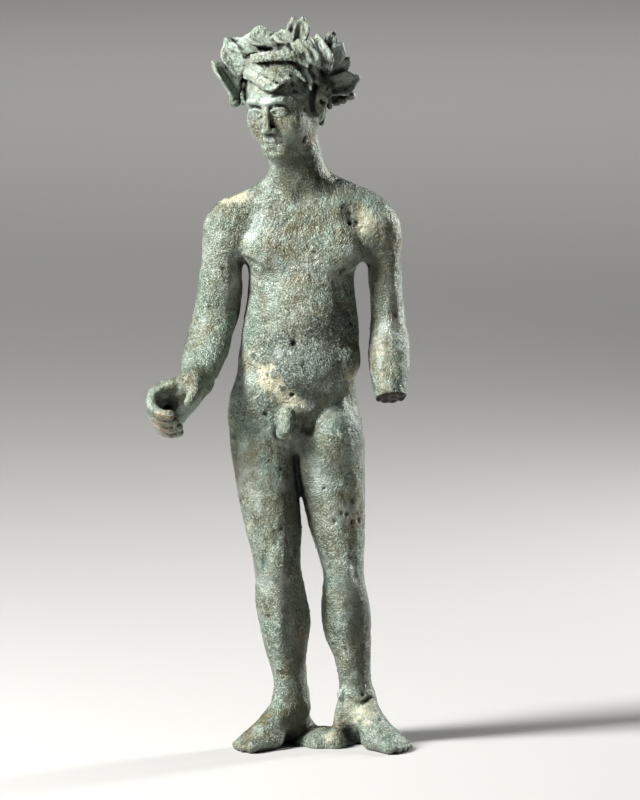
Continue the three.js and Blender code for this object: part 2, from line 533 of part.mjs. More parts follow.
// Leaves of the wreath, placed round the middle of the head: base, tip, facing, half width.
const LEAVES = [
  [[-11.0, -2.6, 1.0], [-16.8, -3.8, 9.8], [0.75, -0.65, 0.1], 3.1],
  [[-9.0, -4.0, 6.0], [-14.0, -4.4, 15.4], [-0.4, -1, 0.1], 2.8],
  [[-13.4, -3.0, 14.2], [-5.6, -5.4, 12.4], [-0.1, -0.8, 0.6], 2.4],
  [[-0.6, -3.6, 14.2], [-9.0, -3.8, 16.2], [0, -0.8, 0.6], 2.9],
  [[3.6, -4.4, 14.6], [-2.2, -4.4, 16.2], [0.1, -0.8, 0.6], 2.2],
  [[4.0, -3.0, 12.6], [2.8, -2.6, 20.6], [0.1, -1, 0.1], 2.1],
  [[4.0, -3.2, 12.6], [5.4, -2.8, 20.8], [0.1, -1, 0.1], 2.1],
  [[3.2, -7.0, 15.4], [6.6, -9.4, 9.0], [0.1, -0.9, 0.3], 1.9],
  [[5.2, -7.6, 14.8], [9.4, -8.6, 9.2], [0.2, -0.9, 0.3], 1.6],
  [[8.0, -4.8, 16.4], [12.2, -6.8, 8.2], [0.3, -0.9, 0.2], 1.9],
  [[10.6, -3.0, 11.2], [13.0, -3.0, 17.2], [0.3, -0.9, 0.1], 1.6],
  [[10.8, -2.8, 7.8], [15.2, -3.2, 14.2], [0.4, -0.9, 0], 2.3],
  [[11.0, -1.0, 5.2], [16.9, -1.4, 10.2], [0.4, -0.9, 0], 1.7],
  [[10.0, -0.2, 2.6], [19.4, -0.4, 5.4], [0.4, -0.9, 0.1], 2.9],
  [[9.4, 1.4, 3.6], [14.4, 1.6, -1.6], [0.4, -0.9, 0], 2.0],
];
const BERRIES = [
  [17.2, -0.4, 0.8],
  [15.2, 0.2, -0.2],
  [-13.4, -3.8, 14.8],
];

// A bound twig round the head, leaves and berries over the brow, and a row of leaves behind.
function wreath() {
  const ring = (turn, out = 0, up = 0) => [
    (10.9 + out) * Math.cos(turn * DEGREE),
    2.2 + (12.2 + out) * Math.sin(turn * DEGREE),
    6.6 - 5.2 * Math.sin(turn * DEGREE) + up,
  ];
  const twig = [];
  for (let turn = 0; turn < 360; turn += 20) {
    const thick = turn >= 220 && turn < 320 ? 1.0 : 1.3;
    twig.push(...add(0.6, rod(ring(turn), ring(turn + 20), thick)));
  }
  for (let turn = -130; turn < -44; turn += 6) {
    twig.push(...add(0.15, rod(ring(turn, 0.5, 0.9), ring(turn + 3, 0.5, -0.7), 0.62))); // binding
  }
  const behind = [];
  for (let i = 0; i < 9; i += 1) {
    const turn = 10 + 20 * i;
    const [outX, outY] = [Math.cos(turn * DEGREE), Math.sin(turn * DEGREE)];
    const [alongX, alongY, alongZ] = ring(turn - 24);
    const tip = [alongX + 2.8 * outX, alongY + 2.8 * outY, alongZ + (i % 2 ? 4.4 : -0.6)];
    behind.push(...add(0.5, leaf(ring(turn), tip, [outX, outY, 0.5], 2.4)));
  }
  return [
    ...twig,
    ...behind,
    ...LEAVES.flatMap(([base, tip, facing, width]) => add(0.5, leaf(base, tip, facing, width, 0.2))),
    ...add(0.5, strand([[-10.6, -0.4, 5.0], [-11.8, -1.0, 2.2], [-11.6, -1.2, -0.4]], 1.2, 1.6)), // side curl
    ...BERRIES.flatMap((middle) => add(0.4, ball(middle, [1.2, 1.2, 1.2]))),
  ];
}

function genitals() {
  return [
    ...add(1.2, ball([-3.6, -8.2, 83.0], [3.2, 2.6, 3.4])),
    ...add(0.6, ball([-5.5, -9.3, 80.8], [1.8, 2.0, 2.3], { roll: 12 })),
    ...add(0.6, ball([-3.1, -9.3, 80.6], [1.8, 2.0, 2.4])),
    ...add(0.4, rod([-4.2, -10.2, 85.2], [-4.4, -11.6, 81.2], 1.45, 1.2)),
  ];
}

function figure() {
  return [
    ...trunk(),
    ...legs(),
    ...arms(),
    ...genitals(),
    ...foot(RIGHT_FOOT, 1),
    ...foot(LEFT_FOOT, -1),
    ...heelLump(),
    ...rightHand(),
    ...add(2.4, framed({ at: HEAD_AT, turn: HEAD_TURN, reach: 19 }, [...face(), ...hair()])),
    ...add(0.6, framed({ at: HEAD_AT, reach: 25, middle: [0, 0, 8] }, wreath())),
  ];
}

// Grid planes from low to high, with one spacing below the bend and another above it.
function planes(low, high, step, bend = high, stepAbove = step) {
  const list = [];
  for (let value = low; value < high; value += value < bend ? step : stepAbove) list.push(value);
  return [...list, high];
}

// Distances at every grid point. A block well away from the surface takes the distance of its middle.
function sampled(distance, [xs, ys, zs]) {
  const value = new Float32Array(xs.length * ys.length * zs.length);
  for (let k = 0; k < zs.length; k += SKIP) {
    for (let j = 0; j < ys.length; j += SKIP) {
      for (let i = 0; i < xs.length; i += SKIP) {
        const [ends, middle] = [[], []];
        [[xs, i], [ys, j], [zs, k]].forEach(([list, start]) => {
          const end = Math.min(start + SKIP, list.length);
          ends.push(end);
          middle.push((list[start] + list[end - 1]) / 2);
        });
        const far = distance(...middle);
        const skipped = Math.abs(far) > SKIP * (STEP + TALL_STEP);
        for (let c = k; c < ends[2]; c += 1) {
          for (let b = j; b < ends[1]; b += 1) {
            for (let a = i; a < ends[0]; a += 1) {
              const here = skipped ? far : distance(xs[a], ys[b], zs[c]);
              value[a + xs.length * (b + ys.length * c)] = here || 1e-6;
            }
          }
        }
      }
    }
  }
  return value;
}

// The surface where the distance is zero, as triangles between shared points. Each grid cell is cut into six
// tetrahedra round its long diagonal, so the result always closes.
function surfaceOf(distance, [xs, ys, zs]) {
  const [nx, ny] = [xs.length, ys.length];
  const value = sampled(distance, [xs, ys, zs]);
  const corner = [0, 1, nx, nx + 1, nx * ny, nx * ny + 1, nx * ny + nx, nx * ny + nx + 1];
  const tetrahedra = [[0, 1, 3, 7], [0, 3, 2, 7], [0, 2, 6, 7], [0, 6, 4, 7], [0, 4, 5, 7], [0, 5, 1, 7]];
  const points = [];
  const triangles = [];
  const known = new Map();
  const place = (n) => [xs[n % nx], ys[Math.floor(n / nx) % ny], zs[Math.floor(n / (nx * ny))]];
  const crossing = (a, b) => {
    const [low, high] = a < b ? [a, b] : [b, a];
    const key = low * 4194304 + (high - low);
    if (!known.has(key)) {
      const t = between(0.06, 0.94, value[low] / (value[low] - value[high]));
      const [p, q] = [place(low), place(high)];
      known.set(key, points.length);
      points.push(p.map((v, i) => v + t * (q[i] - v)));
    }
    return known.get(key);
  };
  const facet = (a, b, c, inside, outside) => {
    const [p, q, r] = [points[a], points[b], points[c]].map((v) => new THREE.Vector3(...v));
    const normal = q.sub(p).cross(r.sub(p));
    const outwards = new THREE.Vector3(...place(outside)).sub(new THREE.Vector3(...place(inside)));
    triangles.push(normal.dot(outwards) > 0 ? [a, b, c] : [a, c, b]);
  };
  for (let k = 0; k < zs.length - 1; k += 1) {
    for (let j = 0; j < ny - 1; j += 1) {
      for (let i = 0; i < nx - 1; i += 1) {
        const n = i + nx * (j + ny * k);
        const below = corner.filter((step) => value[n + step] < 0).length;
        if (below === 0 || below === 8) continue;
        for (const four of tetrahedra) {
          const ids = four.map((c) => n + corner[c]);
          const inside = ids.filter((id) => value[id] < 0);
          const outside = ids.filter((id) => value[id] >= 0);
          if (inside.length === 1 || inside.length === 3) {
            const [one, rest] = inside.length === 1 ? [inside[0], outside] : [outside[0], inside];
            const [a, b, c] = rest.map((id) => crossing(one, id));
            facet(a, b, c, inside[0], outside[0]);
          } else if (inside.length === 2) {
            const [[p, q], [r, s]] = [inside, outside];
            const [a, b, c, d] = [crossing(p, r), crossing(p, s), crossing(q, s), crossing(q, r)];
            facet(a, b, c, p, r);
            facet(a, c, d, p, r);
          }
        }
      }
    }
  }
  return { points, triangles };
}

// The largest closed skin of a surface. Pockets sealed inside the metal and loose specks are dropped.
function outerSkin({ points, triangles }) {
  const group = points.map((_, i) => i);
  const leader = (i) => {
    let top = i;
    while (group[top] !== top) {
      group[top] = group[group[top]];
      top = group[top];
    }
    return top;
  };
  triangles.forEach(([a, b, c]) => {
    group[leader(b)] = leader(a);
    group[leader(c)] = leader(a);
  });
  const sizes = new Map();
  triangles.forEach(([a]) => sizes.set(leader(a), (sizes.get(leader(a)) || 0) + 1));
  const [largest] = [...sizes.entries()].sort((p, q) => q[1] - p[1])[0];
  return { points, triangles: triangles.filter(([a]) => leader(a) === largest) };
}

// A heap of candidate edges, cheapest first.
class Queue {
  constructor() {
    this.items = [];
  }
  push(item) {
    const list = this.items;
    let i = list.push(item) - 1;
    while (i > 0) {
      const parent = (i - 1) >> 1;
      if (list[parent].cost <= list[i].cost) break;
      [list[parent], list[i]] = [list[i], list[parent]];
      i = parent;
    }
  }
  pop() {
    const list = this.items;
    const [top, last] = [list[0], list.pop()];
    if (list.length === 0) return top;
    list[0] = last;
    let i = 0;
    for (;;) {
      let least = i;
      for (const child of [2 * i + 1, 2 * i + 2]) {
        if (child < list.length && list[child].cost < list[least].cost) least = child;
      }
      if (least === i) return top;
      [list[least], list[i]] = [list[i], list[least]];
      i = least;
    }
  }
}

// Merges the ends of the edges that matter least to the form until few enough triangles are left. Each point
// carries the planes it should stay on. Where care is more than 1, the form is kept finer.
function reduce({ points, triangles }, goal, care) {
  const planesOf = points.map(() => new Float64Array(10));
  const around = points.map(() => new Set());
  const alive = triangles.map(() => true);
  const stamp = new Uint32Array(points.length);
  const minus = (p, q) => [p[0] - q[0], p[1] - q[1], p[2] - q[2]];
  const cross = (p, q) => [p[1] * q[2] - p[2] * q[1], p[2] * q[0] - p[0] * q[2], p[0] * q[1] - p[1] * q[0]];
  const dot = (p, q) => p[0] * q[0] + p[1] * q[1] + p[2] * q[2];
  triangles.forEach((corners, id) => {
    const [p, q, r] = corners.map((v) => points[v]);
    const normal = cross(minus(q, p), minus(r, p));
    const area = Math.hypot(...normal);
    const [a, b, c] = area > 0 ? normal.map((v) => v / area) : [0, 0, 0];
    const d = -(a * p[0] + b * p[1] + c * p[2]);
    const weight = area * care(p);
    const terms = [a * a, a * b, a * c, a * d, b * b, b * c, b * d, c * c, c * d, d * d];
    for (const v of corners) {
      around[v].add(id);
      terms.forEach((term, i) => {
        planesOf[v][i] += weight * term;
      });
    }
  });
  const candidate = (a, b) => {
    const q = planesOf[a].map((value, i) => value + planesOf[b][i]);
    const middle = points[a].map((value, i) => (value + points[b][i]) / 2);
    const hold = 1e-3 * (q[0] + q[4] + q[7]) + 1e-9;
    const m = new THREE.Matrix3(q[0] + hold, q[1], q[2], q[1], q[4] + hold, q[5], q[2], q[5], q[7] + hold);
    const right = [hold * middle[0] - q[3], hold * middle[1] - q[6], hold * middle[2] - q[8]];
    const [x, y, z] = new THREE.Vector3(...right).applyMatrix3(m.invert()).toArray();
    const crossed = q[1] * x * y + q[2] * x * z + q[5] * y * z;
    const flat = q[0] * x * x + q[4] * y * y + q[7] * z * z + 2 * crossed;
    const length = Math.hypot(...minus(points[a], points[b]));
    const cost = flat + 2 * (q[3] * x + q[6] * y + q[8] * z) + q[9] + 1e-4 * length;
    return { cost, a, b, to: [x, y, z], age: [stamp[a], stamp[b]] };
  };
  const neighbours = (v) => {
    const corners = [...around[v]].flatMap((id) => triangles[id]);
    return new Set(corners.filter((other) => other !== v));
  };
  const turnsOver = (v, other, to) =>
    [...around[v]].some((id) => {
      const corners = triangles[id];
      if (corners.includes(other)) return false;
      const [p, q, r] = corners.map((c) => points[c]);
      const [s, t, u] = corners.map((c) => (c === v ? to : points[c]));
      const before = cross(minus(q, p), minus(r, p));
      const after = cross(minus(t, s), minus(u, s));
      const size = Math.hypot(...after);
      const sides = [minus(s, t), minus(t, u), minus(u, s)];
      const longest = Math.max(...sides.map((side) => dot(side, side)));
      return dot(before, after) < 0.35 * Math.hypot(...before) * size || size < 0.06 * longest;
    });
  const queue = new Queue();
  points.forEach((_, v) => neighbours(v).forEach((w) => v < w && queue.push(candidate(v, w))));
  let count = triangles.length;
  while (count > goal && queue.items.length > 0) {
    const { a, b, to, age } = queue.pop();
    if (age[0] !== stamp[a] || age[1] !== stamp[b] || around[a].size === 0 || around[b].size === 0) continue;
    const near = neighbours(b);
    const shared = [...neighbours(a)].filter((v) => near.has(v));
    if (shared.length !== 2 || turnsOver(a, b, to) || turnsOver(b, a, to)) continue;
    points[a] = to;
    planesOf[b].forEach((value, i) => {
      planesOf[a][i] += value;
    });
    for (const id of around[b]) {
      if (triangles[id].includes(a)) {
        alive[id] = false;
        count -= 1;
        triangles[id].forEach((v) => v !== b && around[v].delete(id));
      } else {
        triangles[id] = triangles[id].map((v) => (v === b ? a : v));
        around[a].add(id);
      }
    }
    around[b].clear();
    stamp[a] += 1;
    stamp[b] += 1;
    neighbours(a).forEach((w) => queue.push(candidate(a, w)));
  }
  return { points, triangles: triangles.filter((_, id) => alive[id]) };
}

// Points within a hair of the ground are set down on it.
function settled({ points, triangles }) {
  return { points: points.map(([x, y, z]) => [x, y, z < SOLE_SNAP ? 0 : z]), triangles };
}

function geometryOf({ points, triangles }) {
  const used = new Map();
  const positions = [];
  const index = triangles.flat().map((v) => {
    if (!used.has(v)) {
      used.set(v, used.size);
      positions.push(...points[v]);
    }
    return used.get(v);
  });
  const geometry = new THREE.BufferGeometry();
  geometry.setAttribute("position", new THREE.Float32BufferAttribute(positions, 3));
  geometry.setIndex(index);
  return geometry;
}

// The ground is a plane through the figure's soles and the metal between them, so it stands flat.
const forms = figure();
const solid = (x, y, z) => Math.max(distanceTo(forms, x, y, z), -z);
const surface = outerSkin(surfaceOf(solid, [
  planes(-42, 29, STEP),
  planes(-24, 20, STEP),
  planes(-TALL_STEP / 2, 187, TALL_STEP, NECK_HEIGHT, STEP),
]));
const care = ([x, , z]) => (z > NECK_HEIGHT ? 8 : z < 14 || x < -27 ? 3 : 1);
const patina = { name: "patinated_bronze", color: 0x7f8d80, roughness: 0.55, metalness: 0.6 };
const bronze = new THREE.MeshStandardMaterial(patina);
const statuette = new THREE.Mesh(geometryOf(settled(reduce(surface, TRIANGLES, care))), bronze);
statuette.name = "bronze_figure";

const part = new THREE.Group();
part.name = "roman_bronze_statuette";
part.add(statuette);

export default part;
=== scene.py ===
import math

import bpy
import numpy as np
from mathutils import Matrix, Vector


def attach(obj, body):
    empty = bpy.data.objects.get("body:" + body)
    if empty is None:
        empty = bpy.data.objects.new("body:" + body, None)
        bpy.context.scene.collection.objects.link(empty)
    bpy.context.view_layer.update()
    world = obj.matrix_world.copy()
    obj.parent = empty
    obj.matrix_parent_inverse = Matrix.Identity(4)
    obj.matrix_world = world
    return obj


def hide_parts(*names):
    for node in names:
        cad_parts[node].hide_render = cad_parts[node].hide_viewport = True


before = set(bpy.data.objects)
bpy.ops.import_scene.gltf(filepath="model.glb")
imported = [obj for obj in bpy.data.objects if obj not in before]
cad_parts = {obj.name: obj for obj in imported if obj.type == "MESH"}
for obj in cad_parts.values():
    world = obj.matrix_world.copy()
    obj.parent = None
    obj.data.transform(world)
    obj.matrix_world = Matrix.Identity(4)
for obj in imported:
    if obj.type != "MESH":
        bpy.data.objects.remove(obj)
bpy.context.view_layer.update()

bl_info = {
    "name": "Wreathed Youth Bronze",
    "version": (1, 0, 0),
    "blender": (4, 5, 0),
    "location": "View3D > Sidebar > Bronze",
    "description": "Sculpts a small ancient bronze of a wreathed youth and gives it a patina",
    "category": "Object",
}

SOLID_NODE = "bronze_figure"
BODY = "root"
MM = 0.001
DEGREE = math.pi / 180

# Driving dimensions of the figure in millimetres, the same as the solid's
HEAD_AT = (-5.8, -0.6, 162.9)  # middle of the head, on the line of the eyes
HEAD_TURN = (-24, 16, -5)  # yaw to its right, bow and tilt, in degrees
RIGHT_FOOT = ((-3.4, 2.0, 0), -44)
LEFT_FOOT = ((13.2, 1.6, 0), 36)
GRIP_AT = (-33.0, -13.4, 86.4)
GRIP_TURN = (0, 46, -8)
GRIP_RADIUS = 4.7
BREAK_AT = (21.6, -7.6, 88.6)  # where the left forearm is snapped off
BREAK_NORMAL = (0.12, -0.42, -0.9)
BREAK_REACH = 6.4  # no metal of the break is farther from its middle
LEAF_THICK = 0.8
LIMB_LEAN = 6  # how far a limb may lean aside from the middle of its ends

# The room that the field fills, in millimetres. Below each height its levels lie so much further apart.
ROOM_ACROSS = (-42, 30)
ROOM_DEEP = (-22, 19.5)
ROOM_LEVELS = ((14, 1), (78, 1.9), (95, 1), (144, 1.9), (187, 1))
FEWEST_FACES = 1000  # a skin with fewer faces is no figure
# The more enclosed a place is, the darker it is painted, as soil and as painted shade
HOLLOW_PROBES = ((0.7, 0.8), (1.6, 0.6), (4.0, 0.25))  # how far out a hollow is felt for, and its weight
THIN = 1.2  # metal thinner than this counts as an edge

# The picture and its lights. Places are in metres from the middle of the picture, or from the origin.
PICTURE_MIDDLE = (3.75, 0, 87.25)  # in millimetres
PICTURE_HEIGHT = 0.2  # what the picture's long side takes in at the figure
CAMERA_REACH = 50
KEY_AT = (-0.56, -0.26, 0.48)
KEY_SIDES = (0.16, 0.36)
RIM_AT = (0.42, 0.36, 0.2)
RIM_SIDES = (0.08, 0.36)
FLOOR_LIGHT_AT = (0, 1.9, 1.2)
FLOOR_LIGHT_TARGET = (0, 1.6, 0)
FLOOR_LIGHT_SIDES = (1.6, 1.2)
FLOOR_LIGHT_SPREAD = 75  # degrees

# Horizontal slices through a limb: height, centre x and y, half width, reach to the front and to the back
TORSO = (
    (75.0, -2.4, 0.4, 7.5, 5.0, 6.5),
    (81.0, -2.3, 0.4, 15.6, 7.6, 8.6),
    (87.2, -2.9, 0.2, 15.9, 8.2, 8.8),
    (92.4, -2.5, 0.0, 15.0, 8.6, 8.2),
    (96.3, -1.9, 0.0, 14.8, 8.9, 7.6),
    (101.0, -1.4, 0.0, 14.9, 9.0, 7.2),
    (107.4, -1.0, 0.2, 14.3, 8.7, 7.2),
    (112.5, -0.9, 0.4, 13.6, 8.5, 7.5),
    (117.5, -0.9, 0.5, 13.2, 8.5, 7.9),
    (122.5, -0.6, 0.5, 13.8, 8.7, 8.2),
    (127.6, -0.3, 0.6, 14.2, 8.3, 8.2),
    (133.0, -0.5, 0.9, 13.2, 7.2, 7.2),
    (138.0, -0.7, 1.4, 9.6, 5.6, 5.6),
    (141.5, -0.9, 1.6, 6.6, 4.6, 4.6),
)
NECK = (
    (135.0, -0.5, 1.4, 7.6, 5.0, 6.0),
    (140.0, -1.0, 1.2, 7.3, 5.4, 6.0),
    (145.0, -1.8, 0.8, 7.0, 5.8, 6.2),
    (150.0, -2.7, 0.4, 6.8, 6.0, 6.6),
    (156.0, -3.8, 0.6, 6.6, 5.8, 7.0),
    (161.0, -4.4, 1.2, 6.4, 5.6, 7.4),
)
RIGHT_LEG = (
    (6.0, -3.4, 2.2, 3.6, 3.8, 3.8),
    (11.3, -3.5, 2.0, 4.1, 4.4, 4.6),
    (17.7, -3.9, 1.6, 4.3, 4.6, 5.0),
    (21.5, -4.5, 1.2, 4.8, 4.9, 5.6),
    (26.6, -4.9, 0.8, 5.8, 5.3, 6.6),
    (31.6, -5.1, 0.2, 6.6, 5.6, 7.6),
    (36.7, -5.9, -0.6, 6.6, 5.7, 7.4),
    (41.7, -6.4, -1.4, 6.05, 6.0, 6.2),
    (45.5, -6.9, -1.8, 5.9, 6.5, 5.8),
    (49.3, -7.25, -1.7, 6.2, 6.6, 6.4),
    (54.3, -7.8, -1.3, 7.0, 6.9, 7.4),
    (61.9, -8.9, -0.8, 7.6, 7.6, 8.0),
    (69.4, -9.75, -0.4, 7.95, 8.0, 8.4),
    (77.0, -10.5, 0.0, 8.3, 8.2, 8.6),
    (83.3, -11.0, 0.4, 7.7, 7.6, 8.2),
    (89.0, -11.0, 0.6, 5.6, 5.6, 6.4),
)
LEFT_LEG = (
    (6.0, 12.6, 1.6, 3.6, 3.8, 3.8),
    (11.4, 13.0, 1.4, 4.2, 4.4, 4.6),
    (15.2, 12.6, 1.4, 4.1, 4.4, 4.6),
    (19.0, 12.2, 1.4, 4.25, 4.6, 5.0),
    (22.8, 11.75, 1.4, 4.8, 5.0, 5.6),
    (26.6, 10.9, 1.3, 5.7, 5.4, 6.8),
    (31.1, 10.4, 1.0, 6.2, 5.7, 7.6),
    (35.4, 10.1, 0.7, 6.05, 5.8, 7.4),
    (39.2, 9.9, 0.4, 5.6, 5.9, 6.4),
    (43.0, 9.7, 0.2, 5.1, 6.2, 5.6),
    (46.8, 9.2, 0.2, 5.5, 6.4, 6.0),
    (50.5, 8.7, 0.2, 6.2, 6.7, 6.8),
    (55.6, 7.9, 0.2, 7.1, 7.2, 7.6),
    (61.9, 7.25, 0.2, 7.8, 7.9, 8.2),
    (68.2, 6.4, 0.2, 8.65, 8.3, 8.6),
    (74.5, 6.1, 0.3, 8.9, 8.4, 8.8),
    (79.5, 6.2, 0.4, 8.2, 7.8, 8.6),
    (86.0, 6.0, 0.5, 5.8, 5.8, 6.6),
)
RIGHT_ARM = (
    (94.0, -26.2, -9.4, 4.5, 4.6, 4.3),
    (96.9, -25.6, -6.9, 5.2, 5.6, 5.3),
    (100.2, -24.6, -3.8, 5.8, 6.4, 6.2),
    (103.6, -23.8, -0.9, 5.7, 6.2, 6.2),
    (107.6, -22.5, 1.2, 5.9, 5.6, 5.5),
    (112.5, -21.6, 1.4, 5.8, 5.6, 5.5),
    (117.5, -21.1, 1.0, 5.5, 5.7, 5.7),
    (122.5, -20.8, 0.6, 5.1, 5.6, 5.6),
    (127.6, -20.4, 0.4, 5.1, 5.6, 5.6),
    (132.1, -19.6, 0.4, 4.8, 5.0, 5.0),
)
LEFT_ARM = (
    (85.0, 21.8, -8.9, 3.6, 3.9, 3.9),
    (88.5, 21.5, -7.6, 3.9, 4.2, 4.2),
    (90.6, 21.25, -6.6, 4.2, 4.6, 4.5),
    (94.1, 21.05, -4.8, 4.8, 5.2, 5.1),
    (97.7, 21.0, -2.8, 5.2, 5.8, 5.6),
    (101.2, 21.1, -0.8, 5.2, 5.9, 5.9),
    (104.7, 20.9, 0.9, 4.8, 5.5, 5.5),
    (108.4, 20.7, 1.9, 4.3, 5.1, 5.1),
    (112.5, 20.4, 1.8, 4.2, 5.2, 5.2),
    (117.5, 20.0, 1.4, 4.25, 5.4, 5.4),
    (122.5, 19.8, 1.0, 4.3, 5.4, 5.4),
    (127.6, 19.4, 0.6, 4.6, 5.4, 5.4),
    (132.6, 18.6, 0.4, 4.6, 5.0, 5.0),
)

# Leaves of the wreath, placed round the middle of the head: base, tip, facing, half width
LEAVES = (
    ((-11.0, -2.6, 1.0), (-16.8, -3.8, 9.8), (0.75, -0.65, 0.1), 3.1),
    ((-9.0, -4.0, 6.0), (-14.0, -4.4, 15.4), (-0.4, -1, 0.1), 2.8),
    ((-13.4, -3.0, 14.2), (-5.6, -5.4, 12.4), (-0.1, -0.8, 0.6), 2.4),
    ((-0.6, -3.6, 14.2), (-9.0, -3.8, 16.2), (0, -0.8, 0.6), 2.9),
    ((3.6, -4.4, 14.6), (-2.2, -4.4, 16.2), (0.1, -0.8, 0.6), 2.2),
    ((4.0, -3.0, 12.6), (2.8, -2.6, 20.6), (0.1, -1, 0.1), 2.1),
    ((4.0, -3.2, 12.6), (5.4, -2.8, 20.8), (0.1, -1, 0.1), 2.1),
    ((3.2, -7.0, 15.4), (6.6, -9.4, 9.0), (0.1, -0.9, 0.3), 1.9),
    ((5.2, -7.6, 14.8), (9.4, -8.6, 9.2), (0.2, -0.9, 0.3), 1.6),
    ((8.0, -4.8, 16.4), (12.2, -6.8, 8.2), (0.3, -0.9, 0.2), 1.9),
    ((10.6, -3.0, 11.2), (13.0, -3.0, 17.2), (0.3, -0.9, 0.1), 1.6),
    ((10.8, -2.8, 7.8), (15.2, -3.2, 14.2), (0.4, -0.9, 0), 2.3),
    ((11.0, -1.0, 5.2), (16.9, -1.4, 10.2), (0.4, -0.9, 0), 1.7),
    ((10.0, -0.2, 2.6), (19.4, -0.4, 5.4), (0.4, -0.9, 0.1), 2.9),
    ((9.4, 1.4, 3.6), (14.4, 1.6, -1.6), (0.4, -0.9, 0), 2.0),
)
BERRIES = ((17.2, -0.4, 0.8), (15.2, 0.2, -0.2), (-13.4, -3.8, 14.8))

# Pits seen from the front: across, height, radius and depth in millimetres
PITS = (
    (-2.8, 102.6, 0.9, 1.1),
    (-3.2, 89.8, 0.55, 0.8),
    (11.2, 107.2, 0.7, 0.7),
    (11.8, 105.4, 0.5, 0.6),
    (9.6, 120.4, 1.0, 0.5),
    (-27.0, 100.6, 0.6, 0.6),
    (-28.6, 96.2, 0.45, 0.5),
    (-1.4, 30.6, 0.45, 0.8),
    (-1.4, 28.8, 0.4, 0.7),
    (0.0, 153.4, 0.9, 0.3),
    (11.6, 57.4, 0.55, 0.4),
    (9.4, 60.0, 0.4, 0.4),
    (4.8, 66.0, 0.4, 0.3),
    (-9.6, 61.0, 0.45, 0.4),
    (14.6, 13.2, 0.5, 0.4),
)

# Patches of the patina seen from the front: across, height, half width, half height and strength
CREAM_PATCHES = (
    (-18.4, 138.8, 4.6, 2.2, 0.9),
    (-9.4, 96.4, 2.6, 4.0, 1.0),
    (-7.6, 92.8, 4.0, 2.8, 1.1),
    (-3.4, 89.2, 4.6, 2.6, 0.8),
    (10.6, 94.4, 3.4, 2.4, 0.6),
    (-8.0, 154.6, 3.0, 1.6, 0.35),
    (13.2, 8.6, 5.6, 4.4, 0.55),
    (-2.0, 103.0, 9.0, 9.0, 0.3),
    (15.0, 132.0, 4.0, 4.0, 0.45),
    (6.6, 4.0, 3.0, 5.0, 0.5),
    (0.8, 56.0, 2.6, 8.0, 0.4),
    (-14.0, 60.0, 1.8, 10.0, 0.4),
)
ABDOMEN_CRUST = (
    (0.2, 112.0, 9.4, 6.6, 1.0),
    (-1.0, 104.6, 8.4, 6.0, 0.9),
)
BELLY_CRUST = (
    (0.0, 99.4, 11.4, 6.6, 1.0),
    (1.8, 93.8, 7.6, 5.2, 1.0),
    (6.0, 104.6, 7.4, 6.0, 0.9),
)
# These patches are partly dark patina and partly painted shade: under the chin, inside the left arm, on the
# left hip, between and down the legs, over the wreath and between the feet
FILM_AND_PAINTED_SHADE = (
    (-1.0, 143.4, 6.4, 5.6, 1.0),
    (17.4, 118.0, 3.4, 15.0, 0.9),
    (14.0, 84.0, 3.0, 9.0, 0.8),
    (-1.8, 62.0, 4.6, 19.0, 1.0),
    (-3.2, 28.0, 3.2, 15.0, 0.9),
    (14.0, 28.0, 3.2, 15.0, 0.9),
    (9.0, 168.0, 9.0, 10.0, 0.6),
    (-1.6, 9.0, 4.0, 7.0, 0.9),
)
RUST_PATCHES = (
    (-35.2, 83.4, 4.4, 4.4, 0.9),
    (-1.2, 27.2, 1.6, 4.4, 0.8),
    (11.6, 57.4, 3.4, 3.4, 0.7),
    (0.4, 153.0, 2.4, 2.4, 0.8),
    (-2.0, 156.0, 2.6, 3.0, 0.5),
    (8.6, 4.6, 2.4, 3.6, 0.8),
    (5.6, 74.0, 1.6, 6.0, 0.4),
    (-5.6, 83.0, 2.2, 2.2, 0.4),
)

# Noises in the patina: width in millimetres, detail and roughness. Real corrosion grain is under a tenth of a
# millimetre, so fine, grit and finest are drawn coarser to show.
PATINA_NOISES = {
    "broad": (14, 4, 0.55),
    "middling": (4, 5, 0.65),
    "fine": (1.3, 4, 0.7),
    "grit": (0.45, 2, 0.7),
    "finest": (0.28, 2, 0.6),
    "eaten": (9, 3, 0.55),
    "worn": (20, 5, 0.6),
    "oxide": (6.5, 5, 0.65),
    "carbonate": (7.5, 5, 0.65),
    "stains": (2.2, 5, 0.75),
    "specks": (1.7, 3, 0.6),
    "specked": (11, 3, 0.55),
}
PAINTED = ("hollow", "edge", "broken", "pitted", "crusted", "abdomen", "cream", "rust", "film_and_shade")

# Relief and mineral grains
CRUST_TEAR = 3.5 * MM  # width of the tears in the crust's edge
GRAIN_PATCH = 7.142857 * MM  # width of the patches that the grains gather in
DENT_WIDTH = 0.3846 * MM  # dents in a grain
DENT_DEPTH = 0.4 * MM
SMALLEST_GRAIN = (0.25, 0.25, 0.12)  # share of the largest radius, across and in height
LARGEST_GRAIN = (1.0, 1.0, 0.45)


# Forms to sculpt with
#
# A form is (middle, reach, distance): a sphere that bounds it, and a function from arrays of x, y and z to
# the distance from its surface, negative inside.


def turned(yaw=0, pitch=0, roll=0):
    """Rotation matrix: roll about y, then pitch about x, then yaw about z, in degrees."""
    cz, cx, cy = np.cos(np.radians((yaw, pitch, roll)))
    sz, sx, sy = np.sin(np.radians((yaw, pitch, roll)))
    about_z = np.array(((cz, -sz, 0), (sz, cz, 0), (0, 0, 1)))
    about_x = np.array(((1, 0, 0), (0, cx, -sx), (0, sx, cx)))
    about_y = np.array(((cy, 0, sy), (0, 1, 0), (-sy, 0, cy)))
    return about_z @ about_x @ about_y


def length_of(*sides):
    """How long a step is, from its parts along each axis."""
    return np.sqrt(sum(side * side for side in sides))


